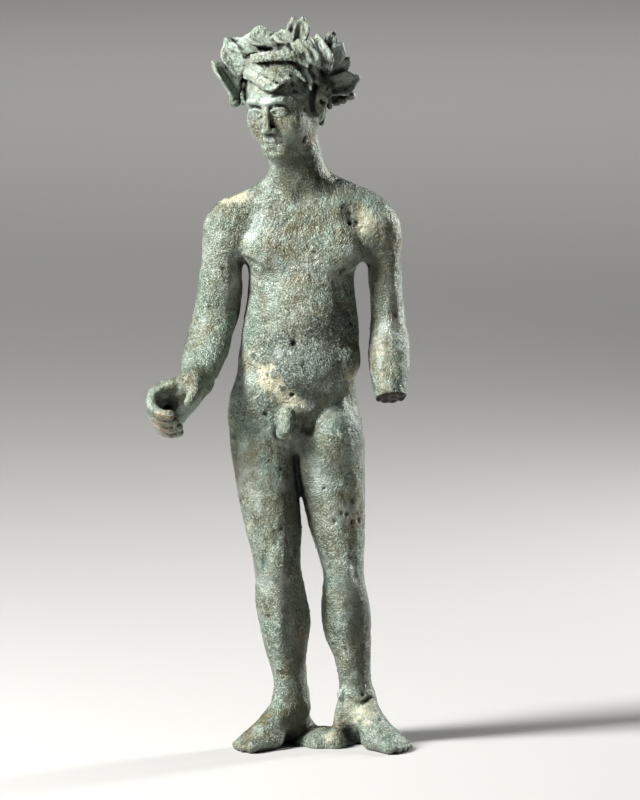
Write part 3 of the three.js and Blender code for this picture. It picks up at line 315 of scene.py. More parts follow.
def ball(middle, radii, yaw=0, pitch=0, roll=0):
    """An egg or pebble with three radii."""
    axes = turned(yaw, pitch, roll).T
    rx, ry, rz = radii

    def distance(x, y, z):
        dx, dy, dz = x - middle[0], y - middle[1], z - middle[2]
        u, v, w = (row[0] * dx + row[1] * dy + row[2] * dz for row in axes)
        share = length_of(u / rx, v / ry, w / rz)
        steep = length_of(u / rx**2, v / ry**2, w / rz**2)
        return share * (share - 1) / np.maximum(steep, 1e-6)

    return middle, max(radii), distance


def rod(start, end, start_radius, end_radius=None):
    """A round rod that may taper."""
    end_radius = start_radius if end_radius is None else end_radius
    start, end = np.array(start, float), np.array(end, float)
    along = end - start

    def distance(x, y, z):
        dx, dy, dz = x - start[0], y - start[1], z - start[2]
        t = np.clip((dx * along[0] + dy * along[1] + dz * along[2]) / (along @ along), 0, 1)
        gap = length_of(dx - t * along[0], dy - t * along[1], dz - t * along[2])
        return gap - start_radius - t * (end_radius - start_radius)

    return (start + end) / 2, np.linalg.norm(along) / 2 + max(start_radius, end_radius), distance


def strand(points, start_radius, end_radius=None):
    """Rods end to end through some points, tapering evenly."""
    end_radius = start_radius if end_radius is None else end_radius
    radii = np.linspace(start_radius, end_radius, len(points))
    return [rod(points[i], points[i + 1], radii[i], radii[i + 1]) for i in range(len(points) - 1)]


def limb(slices):
    """A limb from its horizontal slices, with smooth curves between them."""
    table = np.array(slices)
    levels, rows = table[:, 0], len(table)

    def distance(x, y, z):
        level = np.clip(z, levels[0], levels[-1])
        i = np.clip(np.searchsorted(levels, level) - 1, 0, rows - 2)
        t = (level - levels[i]) / (levels[i + 1] - levels[i])

        def at(column):
            values = table[:, column]
            p0, p1, p2, p3 = (values[np.clip(i + n, 0, rows - 1)] for n in (-1, 0, 1, 2))
            curve = 2 * p0 - 5 * p1 + 4 * p2 - p3 + (3 * (p1 - p2) + p3 - p0) * t
            return p1 + 0.5 * t * (p2 - p0 + t * curve)

        dx, dy = x - at(1), y - at(2)
        deep = np.where(dy < 0, at(4), at(5))
        share = np.maximum(length_of(dx / at(3), dy / deep), 1e-4)
        aside = length_of(dx, dy) * (1 - 1 / share)
        past = np.abs(z - level)
        return np.where(past > 0, length_of(np.maximum(aside, 0), past), aside)

    z, x, y = table[[0, -1], :3].mean(axis=0)
    return (x, y, z), (levels[-1] - levels[0]) / 2 + table[:, 3:].max() + LIMB_LEAN, distance


def leaf(base, tip, facing, half_width, cup=0.12):
    """A wreath leaf: a thick lobed oval, bent along its length and dished round a raised midrib."""
    base, along = np.array(base, float), np.array(tip, float) - np.array(base, float)
    size = np.linalg.norm(along)
    along = along / size
    across = np.cross(facing, along)
    across = across / np.linalg.norm(across)
    out = np.cross(along, across)
    middle = base + along * size / 2

    def distance(x, y, z):
        dx, dy, dz = x - middle[0], y - middle[1], z - middle[2]
        u, v, w = (a[0] * dx + a[1] * dy + a[2] * dz for a in (along, across, out))
        w = w - cup * v * v + 0.2 * u * u / size
        width = (half_width - LEAF_THICK) * (1 - 0.35 * u / size)
        half = size / 2 - LEAF_THICK
        lobes = 1 - 0.07 * np.cos(5 * np.arctan2(v / width, u / half))
        share = length_of(u / half, v / width) * lobes
        steep = length_of(u / half**2, v / width**2)
        beyond = np.where(share > 1, share * (share - 1) / np.maximum(steep, 1e-6), 0)
        dish = 0.5 * np.clip(1 - share**2, 0, 1) * (1 - 0.8 * np.exp(-((v / 0.4) ** 2)))
        return length_of(beyond, w) - LEAF_THICK + np.where(w > 0, dish, 0)

    return middle, size / 2 + 2, distance


def flat(forms):
    """Forms from a mix of single ones and lists of them."""
    return [form for item in forms for form in (item if isinstance(item, list) else [item])]


def add(blend, *forms):
    """Steps that add forms, each blended in over a width as wax is smoothed with a finger."""
    return [(form, blend, 1) for form in flat(forms)]


def cut(blend, *forms):
    """Steps that carve forms away."""
    return [(form, blend, -1) for form in flat(forms)]


def group(steps, reach, middle=(0, 0, 0), at=(0, 0, 0), turn=(0, 0, 0)):
    """Forms worked in a frame of their own, as one form."""
    at, turn = np.array(at, float), turned(*turn)
    return at + turn @ np.array(middle, float), reach, (steps, at, turn)


def both(make):
    """What make gives for the figure's right side, -1, and for its left side, 1."""
    return make(-1) + make(1)


def soften(a, b, blend):
    """The smaller of two distances, rounded where they are nearly equal."""
    h = np.maximum(blend - np.abs(a - b), 0) / blend
    return np.minimum(a, b) - h * h * blend / 4


def sculpted(steps, axes, margin, at=np.zeros(3), turn=np.eye(3), field=None):
    """The distance to what some steps make, on a grid. Each form is worked only where it reaches."""
    if field is None:
        field = np.full([len(axis) for axis in axes], 50.0, np.float32)
    for (middle, reach, what), blend, sign in steps:
        centre = at + turn @ np.array(middle, float)
        reach = reach + blend + margin
        ends = [np.searchsorted(axis, (c - reach, c + reach)) for axis, c in zip(axes, centre)]
        window = tuple(slice(*pair) for pair in ends)
        part = field[window]
        if part.size == 0:
            continue
        near_axes = [axis[w] for axis, w in zip(axes, window)]
        if isinstance(what, tuple):
            inner, inner_at, inner_turn = what
            near = sculpted(inner, near_axes, margin, at + turn @ inner_at, turn @ inner_turn)
        else:
            x, y, z = np.meshgrid(*near_axes, indexing="ij", sparse=True)
            spot = (x - at[0], y - at[1], z - at[2])
            if not np.array_equal(turn, np.eye(3)):
                spot = [sum(turn[j, i] * spot[j] for j in range(3)) for i in range(3)]
            near = what(*spot)
        field[window] = soften(part, near, blend) if sign > 0 else -soften(-part, near, blend)
    return field


# The figure, part by part


def trunk():
    """Shoulders, chest, belly and back, over the slices of the torso."""
    return [
        *add(1, limb(TORSO)),
        *add(2.5, limb(NECK)),
        *add(3, rod((-2.5, 1.8, 143.2), (-17.5, 1.2, 134.2), 3.2, 3.8)),  # trapezius
        *add(3, rod((2.4, 1.8, 142.6), (14.4, 1.2, 136.4), 3.0, 3.8)),
        *add(3, ball((-18.4, 0.2, 129.6), (7.0, 6.2, 8.0))),  # deltoids
        *add(3, ball((16.9, 0.2, 130.0), (6.8, 6.2, 8.2))),
        *add(1.8, ball((-7.8, -3.9, 126.0), (7.8, 4.3, 6.8), 8)),  # pectorals
        *add(1.8, ball((7.0, -3.9, 125.8), (7.6, 4.3, 6.8), -8)),
        *add(4, rod((-8, -1.4, 133.4), (7, -1.4, 133.6), 4.2)),  # upper chest
        *add(2, strand(((-2.6, -3.4, 138.0), (-9, -3.6, 137.4), (-16, -1.8, 135.8)), 0.6)),  # collar bones
        *add(2, strand(((1.4, -3.4, 138.0), (8, -3.6, 137.6), (15, -1.8, 136.4)), 0.6)),
        *add(1.6, ball((-0.2, -5.4, 109.6), (8.2, 4.2, 9.0))),  # upper belly
        *add(1.4, ball((0.6, -5.6, 96.4), (10.4, 6.4, 7.0))),  # lower belly
        *add(2, ball((-12.6, -1.2, 96.6), (3.2, 5.0, 4.0))),  # flanks
        *add(2, ball((9.6, -2.6, 97.4), (4.2, 5.8, 4.8))),
        *add(1.6, strand(((10.6, -3.6, 98.6), (9.6, -6.8, 95.0), (6.0, -8.6, 91.8)), 2.2, 1.6)),  # hip fold
        *add(3, ball((-8.4, 6.2, 127.0), (5.4, 2.8, 6.4))),  # shoulder blades
        *add(3, ball((7.0, 6.2, 127.2), (5.4, 2.8, 6.4))),
        *add(2.5, ball((-9.4, 5.0, 82.0), (7.2, 6.0, 7.8))),  # buttocks
        *add(2.5, ball((4.6, 5.2, 81.4), (7.3, 6.0, 7.8))),
        *add(2, ball((-2.8, -6.4, 83.4), (4.2, 3.0, 3.4))),  # pubis
        *cut(2.4, rod((-0.6, -9.9, 131), (-0.9, -10.6, 119), 0.8)),  # breastbone
        *cut(1.6, strand(((-13.8, -5.8, 123.0), (-10.0, -8.2, 119.4), (-2.4, -9.6, 120.2)), 0.7)),  # chest
        *cut(1.6, strand(((12.8, -6.0, 122.6), (8.6, -8.4, 118.8), (1.2, -9.6, 120.2)), 0.8)),
        *cut(2.0, rod((-1.0, -11.2, 117), (-0.2, -11.6, 105), 0.5)),  # line down the belly
        *cut(1.4, strand(((-6.4, -9.9, 103.2), (-1.0, -11.2, 102.2), (8.4, -9.6, 104.8)), 0.5)),  # waist
        *cut(1.2, strand(((-5.4, -10.2, 111.0), (-0.4, -11.4, 110.2), (6.6, -9.8, 111.4)), 0.3)),
        *cut(2.0, strand(((6.2, -10.8, 117.0), (8.4, -10.2, 111.0), (9.4, -9.8, 104.6)), 0.7)),  # flanks
        *cut(2.0, strand(((-6.6, -10.8, 116.5), (-8.0, -10.4, 110.0), (-7.6, -10.6, 103.0)), 0.5)),
        *cut(2.4, ball((9.4, -11.0, 104.6), (2.0, 2.2, 3.6))),
        *cut(1.0, ball((0.3, -12.4, 97.6), (1.3, 1.0, 1.5))),  # navel
        *cut(2.4, strand(((-14.6, -6.0, 92.4), (-11.2, -8.2, 88.2), (-6.2, -9.4, 83.4)), 0.5)),  # groin
        *add(3, ball((-11.8, -3.4, 88.4), (5.0, 4.8, 7.0))),  # front of the right hip
        *cut(4, rod((-0.9, 9.6, 134), (-2.2, 9.0, 92), 0.7)),  # spine
        *cut(1.8, rod((-2.6, 12.6, 87), (-2.4, 12.0, 74), 0.9)),
        *cut(2.4, ball((-0.6, -5.9, 139.4), (1.5, 1.4, 1.5))),  # hollow of the throat
    ]


def leg(side, slices, knee, calf):
    """One leg from the hip to the ankle, with its kneecap, shin and calf."""
    kx, ky, kz = knee
    cx, cy, cz = calf
    return [
        *add(1, limb(slices)),
        *add(2, ball((kx, ky - 4.9, kz), (3.0, 2.0, 3.4))),  # kneecap
        *add(2, rod((kx, ky - 4.4, kz - 5), (cx + side * 0.4, cy - 2.8, 20), 1.2, 0.7)),  # shin
        *add(2.5, ball((cx - 2.0, cy + 3.5, cz), (3.2, 3.5, 8.8))),  # calf
        *add(2.5, ball((cx + 2.0, cy + 3.5, cz - 0.8), (3.2, 3.5, 8.4))),
        *cut(1.6, ball((kx - 3.2, ky - 6.2, kz + 1), (0.8, 1.2, 2.6))),
        *cut(1.6, ball((kx + 3.2, ky - 6.2, kz + 1), (0.8, 1.2, 2.6))),
        *cut(2.4, ball((kx, ky + 6.6, kz + 0.6), (2.4, 1.4, 3.4))),  # back of the knee
    ]


def legs():
    """Both legs. The thighs meet in a crease, so they are joined with a tight blend."""
    right = group(leg(-1, RIGHT_LEG, (-6.9, -1.8, 46), (-5.3, 0.6, 34)), 56, (0, 0, 45))
    left = group(leg(1, LEFT_LEG, (9.6, 0.2, 44), (10.3, 1.0, 33)), 56, (0, 0, 45))
    groin = strand(((12.4, -5.2, 92.0), (9.6, -6.8, 89.4), (4.6, -8.2, 86.0), (0.6, -8.4, 81.5)), 0.9, 1.7)
    return [
        *add(3, group([*add(1, right), *add(1, left)], 56, (0, 0, 45))),
        *add(2.5, ball((6.6, -3.2, 78.6), (7.0, 7.0, 9.6))),  # top of the left thigh
        *cut(1.0, groin),
        *cut(1.2, rod((-0.4, -9.6, 80.0), (-0.8, -8.6, 70.0), 0.9)),
    ]


def stump_cut():
    """The half space past the break, made uneven by a few shallow dents."""
    normal = np.array(BREAK_NORMAL) / np.linalg.norm(BREAK_NORMAL)

    def distance(x, y, z):
        dents = 0.35 * np.sin(1.6 * x + 0.7) * np.sin(1.9 * y)
        past = (x - BREAK_AT[0]) * normal[0] + (y - BREAK_AT[1]) * normal[1] + (z - BREAK_AT[2]) * normal[2]
        return dents - past

    return np.array(BREAK_AT) + 10 * normal, 12, distance


def arms():
    """The whole right arm, and the left arm as far as its break."""
    broken = [
        *add(1, limb(LEFT_ARM)),
        *add(2, ball((20.6, 5.6, 107.6), (2.0, 1.8, 2.6))),
        *cut(0.6, stump_cut()),
    ]
    return [
        *add(1.2, limb(RIGHT_ARM)),
        *add(2, ball((-22.6, 5.0, 107.4), (2.2, 1.8, 2.6))),  # elbow
        *add(1.6, group(broken, 34, (20, -2, 109))),
    ]


def foot(place, inner):
    """One foot, toes to the front. The big toe lies on the side that inner points to."""
    at, yaw = place
    toes = (
        (3.4, -13.2, -19.8, 1.75),
        (1.0, -14.2, -19.6, 1.25),
        (-1.1, -13.9, -18.8, 1.2),
        (-3.1, -13.2, -17.6, 1.15),
        (-4.9, -12.2, -16.0, 1.1),
    )
    steps = [
        *add(1, ball((0, 3.4, 3.0), (3.5, 3.9, 3.6))),
        *add(2.5, rod((0, 0.4, 12), (0, 0.6, 5.0), 3.9)),
        *add(2.5, rod((0, -1.6, 8.2), (inner * 0.3, -10.2, 4.0), 4.5, 3.3)),
        *add(2.5, ball((inner * -0.4, -10.6, 2.0), (5.6, 5.8, 2.8))),
        *add(2.5, rod((inner * -1.8, 1.0, 2.4), (inner * -3.4, -9, 1.9), 2.8, 2.3)),
        *add(1.5, ball((inner * 3.9, 0.6, 9.4), (1.3, 1.7, 1.7))),  # ankle bones
        *add(1.5, ball((inner * -3.9, 1.4, 8.4), (1.3, 1.7, 1.7))),
    ]
    for x, root, tip, r in toes:
        steps += add(0.6, rod((inner * x * 0.92, root, 1.9), (inner * x, tip + r, r - 0.15), r, r * 0.92))
        steps += cut(0.3, ball((inner * x, tip + 0.75, 1.9 * r), (0.55 * r, 0.8, 0.4)))  # nail
    return add(2.0, group(steps, 21, (0, -6, 5), at, (yaw, 0, 0)))


def ankle_groove():
    """A thin cut across the front of the left ankle."""
    path = ((10.6, -2.7, 12.4), (12.6, -3.6, 11.3), (14.6, -3.5, 11.2), (16.6, -1.8, 12.4))
    return cut(0.3, strand(path, 0.35))


def heel_lump():
    """The rough metal left between the heels."""
    return [
        *add(1.6, ball((4.4, 1.0, 0.2), (8.0, 5.6, 4.4))),
        *add(1.2, ball((3.4, -3.0, 0.6), (3.4, 4.0, 3.0))),
        *add(1.2, ball((7.4, -3.4, 1.0), (3.0, 4.0, 3.6))),
        *add(1.2, ball((9.0, 0.2, 5.4), (2.0, 2.6, 4.6))),
        *add(0.8, ball((8.9, -1.6, 13.0), (0.9, 1.0, 1.7))),
    ]


def right_hand():
    """Four fingers curled round an empty grip, the palm behind it and the thumb over the top."""

    def finger(level, start, end, reach):
        """A finger curled part of the way round the grip, between two angles."""
        angles = np.radians(np.linspace(start, end, 9))
        return strand([(reach * math.cos(a), reach * math.sin(a), level) for a in angles], 1.65, 1.3)

    r = GRIP_RADIUS
    steps = [
        *add(1.5, rod((5.6, 5.4, 4.0), (2.4, 5.0, 0.6), 3.6, 3.2)),  # wrist into palm
        *add(2, ball((0.4, 5.1, -0.4), (4.6, 1.9, 5.6), 12)),
        *add(0.3, finger(4.4, 80, 272, r)),
        *add(0.3, finger(1.7, 100, 280, r)),
        *add(0.3, finger(-1.0, 100, 286, r)),
        *add(0.3, finger(-3.6, 100, 286, r - 0.3)),
        *add(1, strand(((5.6, 4.9, 3.0), (6.2, 1.7, 4.6), (4.8, -1.2, 4.4)), 1.8, 1.3)),  # thumb
    ]
    grip = add(1, rod((-0.2, -0.4, 9), (0.2, -0.4, -4), 2.8))
    heel = strand(((-26.6, -9.6, 93.2), (-29.8, -9.0, 88.4), (-32.8, -10.0, 83.4)), 4.1, 2.6)
    return [
        *add(2, group(steps, 13, (0, 0, 0), GRIP_AT, GRIP_TURN)),
        *cut(0.6, group(grip, 13, (0, 0, 0), GRIP_AT, GRIP_TURN)),
        *add(1.0, heel),  # heel of the hand, which closes the back of the grip
    ]


def genitals():
    """Small and plain, set over the pubis."""
    return [
        *add(1.2, ball((-3.6, -8.2, 83.0), (3.2, 2.6, 3.4))),
        *add(0.6, ball((-5.5, -9.3, 80.8), (1.8, 2.0, 2.3), 0, 0, 12)),
        *add(0.6, ball((-3.1, -9.3, 80.6), (1.8, 2.0, 2.4))),
        *add(0.4, rod((-4.2, -10.2, 85.2), (-4.4, -11.6, 81.2), 1.45, 1.2)),
        *cut(0.3, rod((-3.6, -12.8, 80.0), (-5.4, -12.6, 80.4), 0.2)),
    ]


def eye(s):
    """An almond-shaped eye in its socket, between two lids."""

    def lid(height, thick):
        """A lid arched over the eye, or under it where the height is negative."""
        points = []
        for i in range(7):
            turn = math.pi * i / 6
            across = 3.15 - 1.85 * math.cos(turn)
            front = -9.15 - 0.5 * math.sin(turn) + 0.22 * (across - 1.3)
            points.append((s * across, front, height * math.sin(turn) - 0.1))
        return strand(points, thick)

    return [
        *cut(1.3, ball((s * 3.2, -10.8, 0.3), (2.6, 2.0, 1.9))),
        *add(0.2, ball((s * 3.1, -7.6, -0.05), (2.2, 1.85, 1.5))),
        *add(0.2, lid(1.15, 0.36)),
        *add(0.2, lid(-0.95, 0.28)),
    ]


def ear(s):
    """An ear: a rolled rim round a bowl, and a lobe."""
    rim = ((s * 9.4, 0.0, -1.4), (s * 10.3, -0.2, 0.6), (s * 10.8, 1.4, 1.6), (s * 10.9, 2.8, 0.2))
    back = ((s * 10.9, 2.8, 0.2), (s * 10.4, 2.6, -2.2), (s * 9.6, 1.0, -4.6))
    return [
        *add(0.8, ball((s * 9.4, 1.4, -1.8), (1.1, 2.0, 3.2), s * -14)),
        *cut(0.4, ball((s * 10.8, 1.2, -0.8), (0.8, 1.0, 1.5), s * -14)),
        *add(0.4, strand(rim, 0.55)),
        *add(0.4, strand(back, 0.55, 0.8)),
    ]


def mouth():
    """Closed lips, with a groove between them and a shallow one under the nose."""
    bow = ((-1.0, -10.1, -7.2), (0, -10.15, -7.4), (1.0, -10.1, -7.2))
    upper = ((-2.7, -8.8, -7.8), *bow, (2.7, -8.8, -7.8))
    line = ((-2.8, -9.4, -8.0), (-1.0, -10.7, -7.85), (1.0, -10.7, -7.85), (2.8, -9.4, -8.0))
    return [
        *add(0.5, strand(upper, 0.5)),
        *add(0.5, strand(((-1.6, -9.3, -8.5), (0, -9.7, -8.6), (1.6, -9.3, -8.5)), 0.7)),
        *cut(0.3, strand(line, 0.22)),
        *cut(0.4, rod((0, -10.4, -5.8), (0, -10.8, -6.5), 0.3)),
        *cut(0.8, ball((0, -10.6, -9.8), (1.6, 0.6, 0.5))),
    ]


def nose():
    """A straight bridge, a rounded tip and two nostrils."""
    return [
        *add(0.9, rod((0, -9.2, 2.2), (0, -11.1, -3.6), 0.8, 0.95)),
        *add(0.5, ball((0, -11.1, -4.1), (1.05, 0.95, 0.9))),
        *add(0.5, ball((-1.3, -10.2, -4.5), (0.8, 1.0, 0.75))),
        *add(0.5, ball((1.3, -10.2, -4.5), (0.8, 1.0, 0.75))),
        *cut(0.2, ball((-0.7, -11.0, -5.2), (0.35, 0.5, 0.4))),
        *cut(0.2, ball((0.7, -11.0, -5.2), (0.35, 0.5, 0.4))),
    ]


def face():
    """A plain ideal face on even proportions, facing -Y in the head's own frame."""

    def side(s):
        brow = ((s * 1.2, -9.2, 2.3), (s * 2.6, -9.3, 2.9), (s * 4.2, -8.6, 2.9), (s * 5.8, -7.0, 1.9))
        return [
            *add(2.4, rod((s * 6.2, 0.6, -5.6), (s * 1.8, -6.9, -10.4), 2.5, 2.4)),  # jaw
            *add(2.4, ball((s * 4.0, -5.9, -4.4), (3.2, 2.9, 3.6))),  # cheek
            *add(1.6, strand(brow, 0.5, 0.4)),
            *eye(s),
            *ear(s),
        ]

    return [
        *add(1, ball((0, 2.4, 3.4), (8.8, 10.8, 9.6))),
        *add(3, ball((0, -3.3, -2.6), (7.8, 6.3, 9.4))),
        *add(2, ball((0, -7.9, -11.0), (2.8, 2.1, 1.9))),  # chin
        *add(1.8, ball((0, -8.0, -7.6), (3.3, 2.3, 2.8))),
        *both(side),
        *nose(),
        *mouth(),
    ]


def on_skull(azimuth, height, lift):
    """A point over the skull: azimuth from the brow round to its left and height, both in degrees."""
    a, h = azimuth * DEGREE, height * DEGREE
    x, y, z = math.sin(a) * math.cos(h), -math.cos(a) * math.cos(h), math.sin(h)
    return x * (8.9 + lift), 3.0 + y * (10.6 + lift), 3.8 + z * (9.2 + lift)


def combed(path, lift, width=1.15, thick=0.85):
    """A lock of hair: three strands side by side along a path of angles over the skull, drawn to a point."""
    strands = []
    last = len(path) - 1
    for side in (-1, 0, 1):
        points = []
        for i, (azimuth, height) in enumerate(path):
            behind, ahead = path[max(i - 1, 0)], path[min(i + 1, last)]
            narrow = max(math.cos(height * DEGREE), 0.3)
            run, rise = (ahead[0] - behind[0]) * narrow, ahead[1] - behind[1]
            aside = side * width / 0.19 * (1 - 0.85 * (i / last) ** 2) / math.hypot(run, rise)
            spot = (azimuth - aside * rise / narrow, height + aside * run)
            points.append(on_skull(*spot, lift + 0.4 * (side == 0)))
        strands += strand(points, thick, 0.45 * thick)
    return strands


def hair():
    """Locks combed aside over the brow, curls at each ear, and rows of locks from the crown to the nape."""
    brow_locks = (
        ((-32, 60), (-16, 59), (4, 53), (22, 43), (36, 34), (48, 34)),
        ((-32, 44), (-16, 43), (2, 37), (18, 27), (30, 19), (40, 20)),
        ((-32, 30), (-20, 30), (-8, 25), (4, 16), (14, 11), (22, 13)),
        ((16, 56), (30, 48), (43, 36), (53, 22), (58, 10)),
        ((-36, 58), (-50, 46), (-60, 30), (-64, 16), (-60, 6)),
        ((-36, 42), (-47, 30), (-52, 16), (-48, 5)),
        ((50, 60), (66, 46), (76, 30), (80, 14), (76, 0)),
        ((44, 48), (56, 36), (64, 22), (66, 8), (62, -2)),
    )

    between = (
        ((-32, 53), (-16, 52), (3, 45), (20, 35), (33, 27), (44, 28)),
        ((-32, 37), (-18, 37), (-3, 31), (11, 21), (22, 15), (31, 16)),
        ((0, 60), (20, 53), (36, 43), (48, 31), (56, 25)),
    )

    def lock(azimuth, height, curl):
        """A lock that falls down the back of the head and curls aside."""
        path = [(azimuth + curl * (i / 2 - 1) ** 2, height - 6.5 * i) for i in range(5)]
        return combed(path, 1.5, 1.3, 1.0)

    def curls(s):
        """Two curls before and behind an ear."""
        over = ((s * 10.2, 1.6, 4.8), (s * 11.6, 1.2, 3.0), (s * 10.8, 0.2, 1.2), (s * 11.5, 0.8, -0.6))
        behind = ((s * 10.4, 4.4, 3.6), (s * 11.2, 4.0, 1.0), (s * 10.2, 4.8, -1.6), (s * 10.6, 4.4, -4.0))
        return [
            *add(0.4, strand(over, 1.4, 0.9)),
            *add(0.4, strand(behind, 1.4, 0.9)),
            *add(0.4, ball((s * 10.4, 2.8, -6.6), (1.3, 1.4, 1.3))),
        ]

    def nape(i):
        """One of the wavy locks that end round the nape."""
        angle = (96 + 12 * i) * DEGREE
        points = []
        low = -6.6 - 3.6 * math.sin(math.pi * i / 14) - 0.8 * (i % 2)
        for out, z in ((1.1, 1.0), (1.1, -2.0), (1.08, 0.6 * low - (i % 3) * 0.5), (0.86, low)):
            wave = angle + 0.04 * z + 0.06 * math.sin(1.4 * z + i)
            points.append((out * 7.4 * math.sin(wave), 5.6 - out * 6.6 * math.cos(wave), z))
        return strand(points, 1.05, 0.6)

    steps = [
        *add(0.6, ball((0, 3.6, 4.4), (9.6, 10.8, 10.0))),
        *add(3, ball((0, 5.6, -4.6), (7.4, 6.0, 6.6))),
        *add(0.6, ball((1.4, -0.6, 8.6), (8.0, 7.2, 4.9))),  # over the brow
    ]
    for i, path in enumerate(brow_locks):
        steps += add(0.15, combed(path, 2.1 + 0.3 * (i % 2), 0.85, 0.6))
    for path in between:
        steps += add(0.15, combed(path, 1.5, 0.5, 0.5))
    steps += both(curls)
    for row in range(5):
        count, apart = (6, 60) if row == 0 else (11 - row, 28 - 2 * row)
        for i in range(count):
            azimuth = 180 + (i - (count - 1) / 2) * apart + (row % 2) * 8
            steps += add(0.2, lock(azimuth, 80 - 25 * row, 10 if i % 2 else -10))
    for i in range(15):
        steps += add(0.4, nape(i))
    return steps


def wreath():
    """A bound twig round the head, leaves and berries over the brow, and a row of leaves behind."""

    def ring(angle, out=0, up=0):
        """A point on the twig, which dips towards the nape."""
        c, s = math.cos(angle * DEGREE), math.sin(angle * DEGREE)
        return (10.9 + out) * c, 2.2 + (12.2 + out) * s, 6.6 - 5.2 * s + up

    steps = []
    for angle in range(0, 360, 20):
        thick = 0.9 if 220 <= angle < 320 else 1.3
        steps += add(0.6, rod(ring(angle), ring(angle + 20), thick))
    for angle in range(-130, -44, 6):
        steps += add(0.15, rod(ring(angle, 0.5, 0.9), ring(angle + 3, 0.5, -0.7), 0.62))
    for i in range(9):
        angle = 10 + 20 * i
        outward = (math.cos(angle * DEGREE), math.sin(angle * DEGREE))
        x, y, z = ring(angle - 24)
        tip = (x + 2.8 * outward[0], y + 2.8 * outward[1], z + (4.4 if i % 2 else -0.6))
        steps += add(0.4, leaf(ring(angle), tip, (*outward, 0.5), 2.4))
    for base, tip, facing, width in LEAVES:
        steps += add(0.4, leaf(base, tip, facing, width, 0.2))
    curl = ((-10.6, -0.4, 5.0), (-11.8, -1.0, 2.2), (-11.6, -1.2, -0.4))
    steps += add(0.5, strand(curl, 1.2, 1.6))
    for middle in BERRIES:
        steps += add(0.4, ball(middle, (1.2, 1.2, 1.2)))
    return steps


def figure():
    """Every step of the statuette, in the order that it is built up."""
    return [
        *trunk(),
        *legs(),
        *arms(),
        *genitals(),
        *foot(RIGHT_FOOT, 1),
        *foot(LEFT_FOOT, -1),
        *ankle_groove(),
        *heel_lump(),
        *right_hand(),
        *add(2.4, group([*face(), *hair()], 19, (0, 0, 0), HEAD_AT, HEAD_TURN)),
        *add(0.6, group(wreath(), 25, (0, 0, 8), HEAD_AT)),
    ]


# Turning the sculpted field into a mesh


def grid(step):
    """Grid lines along each axis. They lie closer up the feet, the hand and the head than up plain limbs."""
    levels = [-step / 2]
    for top, coarser in ROOM_LEVELS:
        count = max(round((top - levels[-1]) / (coarser * step)), 1)
        levels += list(np.linspace(levels[-1], top, count + 1)[1:])
    return np.arange(*ROOM_ACROSS, step), np.arange(*ROOM_DEEP, step), np.array(levels)


def read(field, axes, points):
    """The field at any points, worked out between the grid lines."""
    cells, shares = [], []
    for axis, value in zip(axes, points.T):
        cell = np.clip(np.searchsorted(axis, value) - 1, 0, len(axis) - 2)
        cells.append(cell)
        shares.append(np.clip((value - axis[cell]) / (axis[cell + 1] - axis[cell]), 0, 1))
    total = np.zeros(len(points))
    for corner in np.ndindex(2, 2, 2):
        weight = np.ones(len(points))
        for high, share in zip(corner, shares):
            weight *= share if high else 1 - share
        total += weight * field[tuple(cell + high for cell, high in zip(cells, corner))]
    return total


def front_of(field, axes, x, z):
    """The y at which the figure's front lies, seen from the front at some x and z."""
    line = read(field, axes, np.array([(x, y, z) for y in axes[1]]))
    return axes[1][np.argmax(line < 0)]


def corner_of(array, steps):
    """Values shifted 0 or 1 along each axis, or the whole axis where the step is None."""
    spans = (slice(None) if s is None else slice(s, n - 1 + s) for s, n in zip(steps, array.shape))
    return array[tuple(spans)]


def mended(field):
    """Fills the few cells where the skin would touch itself along one edge or at one point."""
    faces = [[[None] * 3 for _ in range(4)] for _ in range(3)]
    for missing in range(3):
        a, b = [axis for axis in range(3) if axis != missing]
        for steps, (p, q) in zip(faces[missing], ((0, 0), (1, 1), (0, 1), (1, 0))):
            steps[a], steps[b] = p, q
    cube = list(np.ndindex(2, 2, 2))
    for _ in range(20):
        inside = field < 0
        found = 0
        for steps in faces:
            a, b, c, d = (corner_of(inside, step) for step in steps)
            wrong = (a == b) & (c == d) & (a != c)
            found += wrong.sum()
            for step in steps:
                view = corner_of(field, step)
                view[wrong] = np.minimum(view[wrong], -0.01)
        count = sum(corner_of(inside, step).astype(np.int8) for step in cube)
        for step in cube[:4]:
            a = corner_of(inside, step)
            b = corner_of(inside, tuple(1 - s for s in step))
            wrong = ((count == 2) & a & b) | ((count == 6) & ~a & ~b)
            found += wrong.sum()
            for other in cube:
                view = corner_of(field, other)
                view[wrong] = np.minimum(view[wrong], -0.01)
        if found == 0:
            break
    return field


def skin_of(field, axes):
    """The surface where a field is zero, as points and four-cornered faces that point outwards."""
    shape = field.shape
    strides = np.array((shape[1] * shape[2], shape[2], 1))
    inside = field < 0
    cells, spots, outward = [], [], []
    for axis in range(3):
        near, far = [slice(None)] * 3, [slice(None)] * 3
        near[axis], far[axis] = slice(0, -1), slice(1, None)
        here = np.stack(np.nonzero(inside[tuple(near)] != inside[tuple(far)]), 1)
        there = here.copy()
        there[:, axis] += 1
        a, b = field[tuple(here.T)], field[tuple(there.T)]
        spot = np.stack([axes[i][here[:, i]] for i in range(3)], 1)
        spot[:, axis] += a / (a - b) * (axes[axis][there[:, axis]] - axes[axis][here[:, axis]])
        side, other = strides[(axis + 1) % 3], strides[(axis + 2) % 3]
        cell = here @ strides
        cells.append(np.stack((cell, cell - side, cell - side - other, cell - other), 1))
        spots.append(np.repeat(spot[:, None], 4, 1))
        outward.append(a < 0)
    cells, spots, outward = np.concatenate(cells), np.concatenate(spots), np.concatenate(outward)
    _, index = np.unique(cells.ravel(), return_inverse=True)
    share = np.bincount(index)
    points = np.stack([np.bincount(index, spots[..., i].ravel()) / share for i in range(3)], 1)
    faces = index.reshape(-1, 4)
    return points, np.where(outward[:, None], faces, faces[:, ::-1])


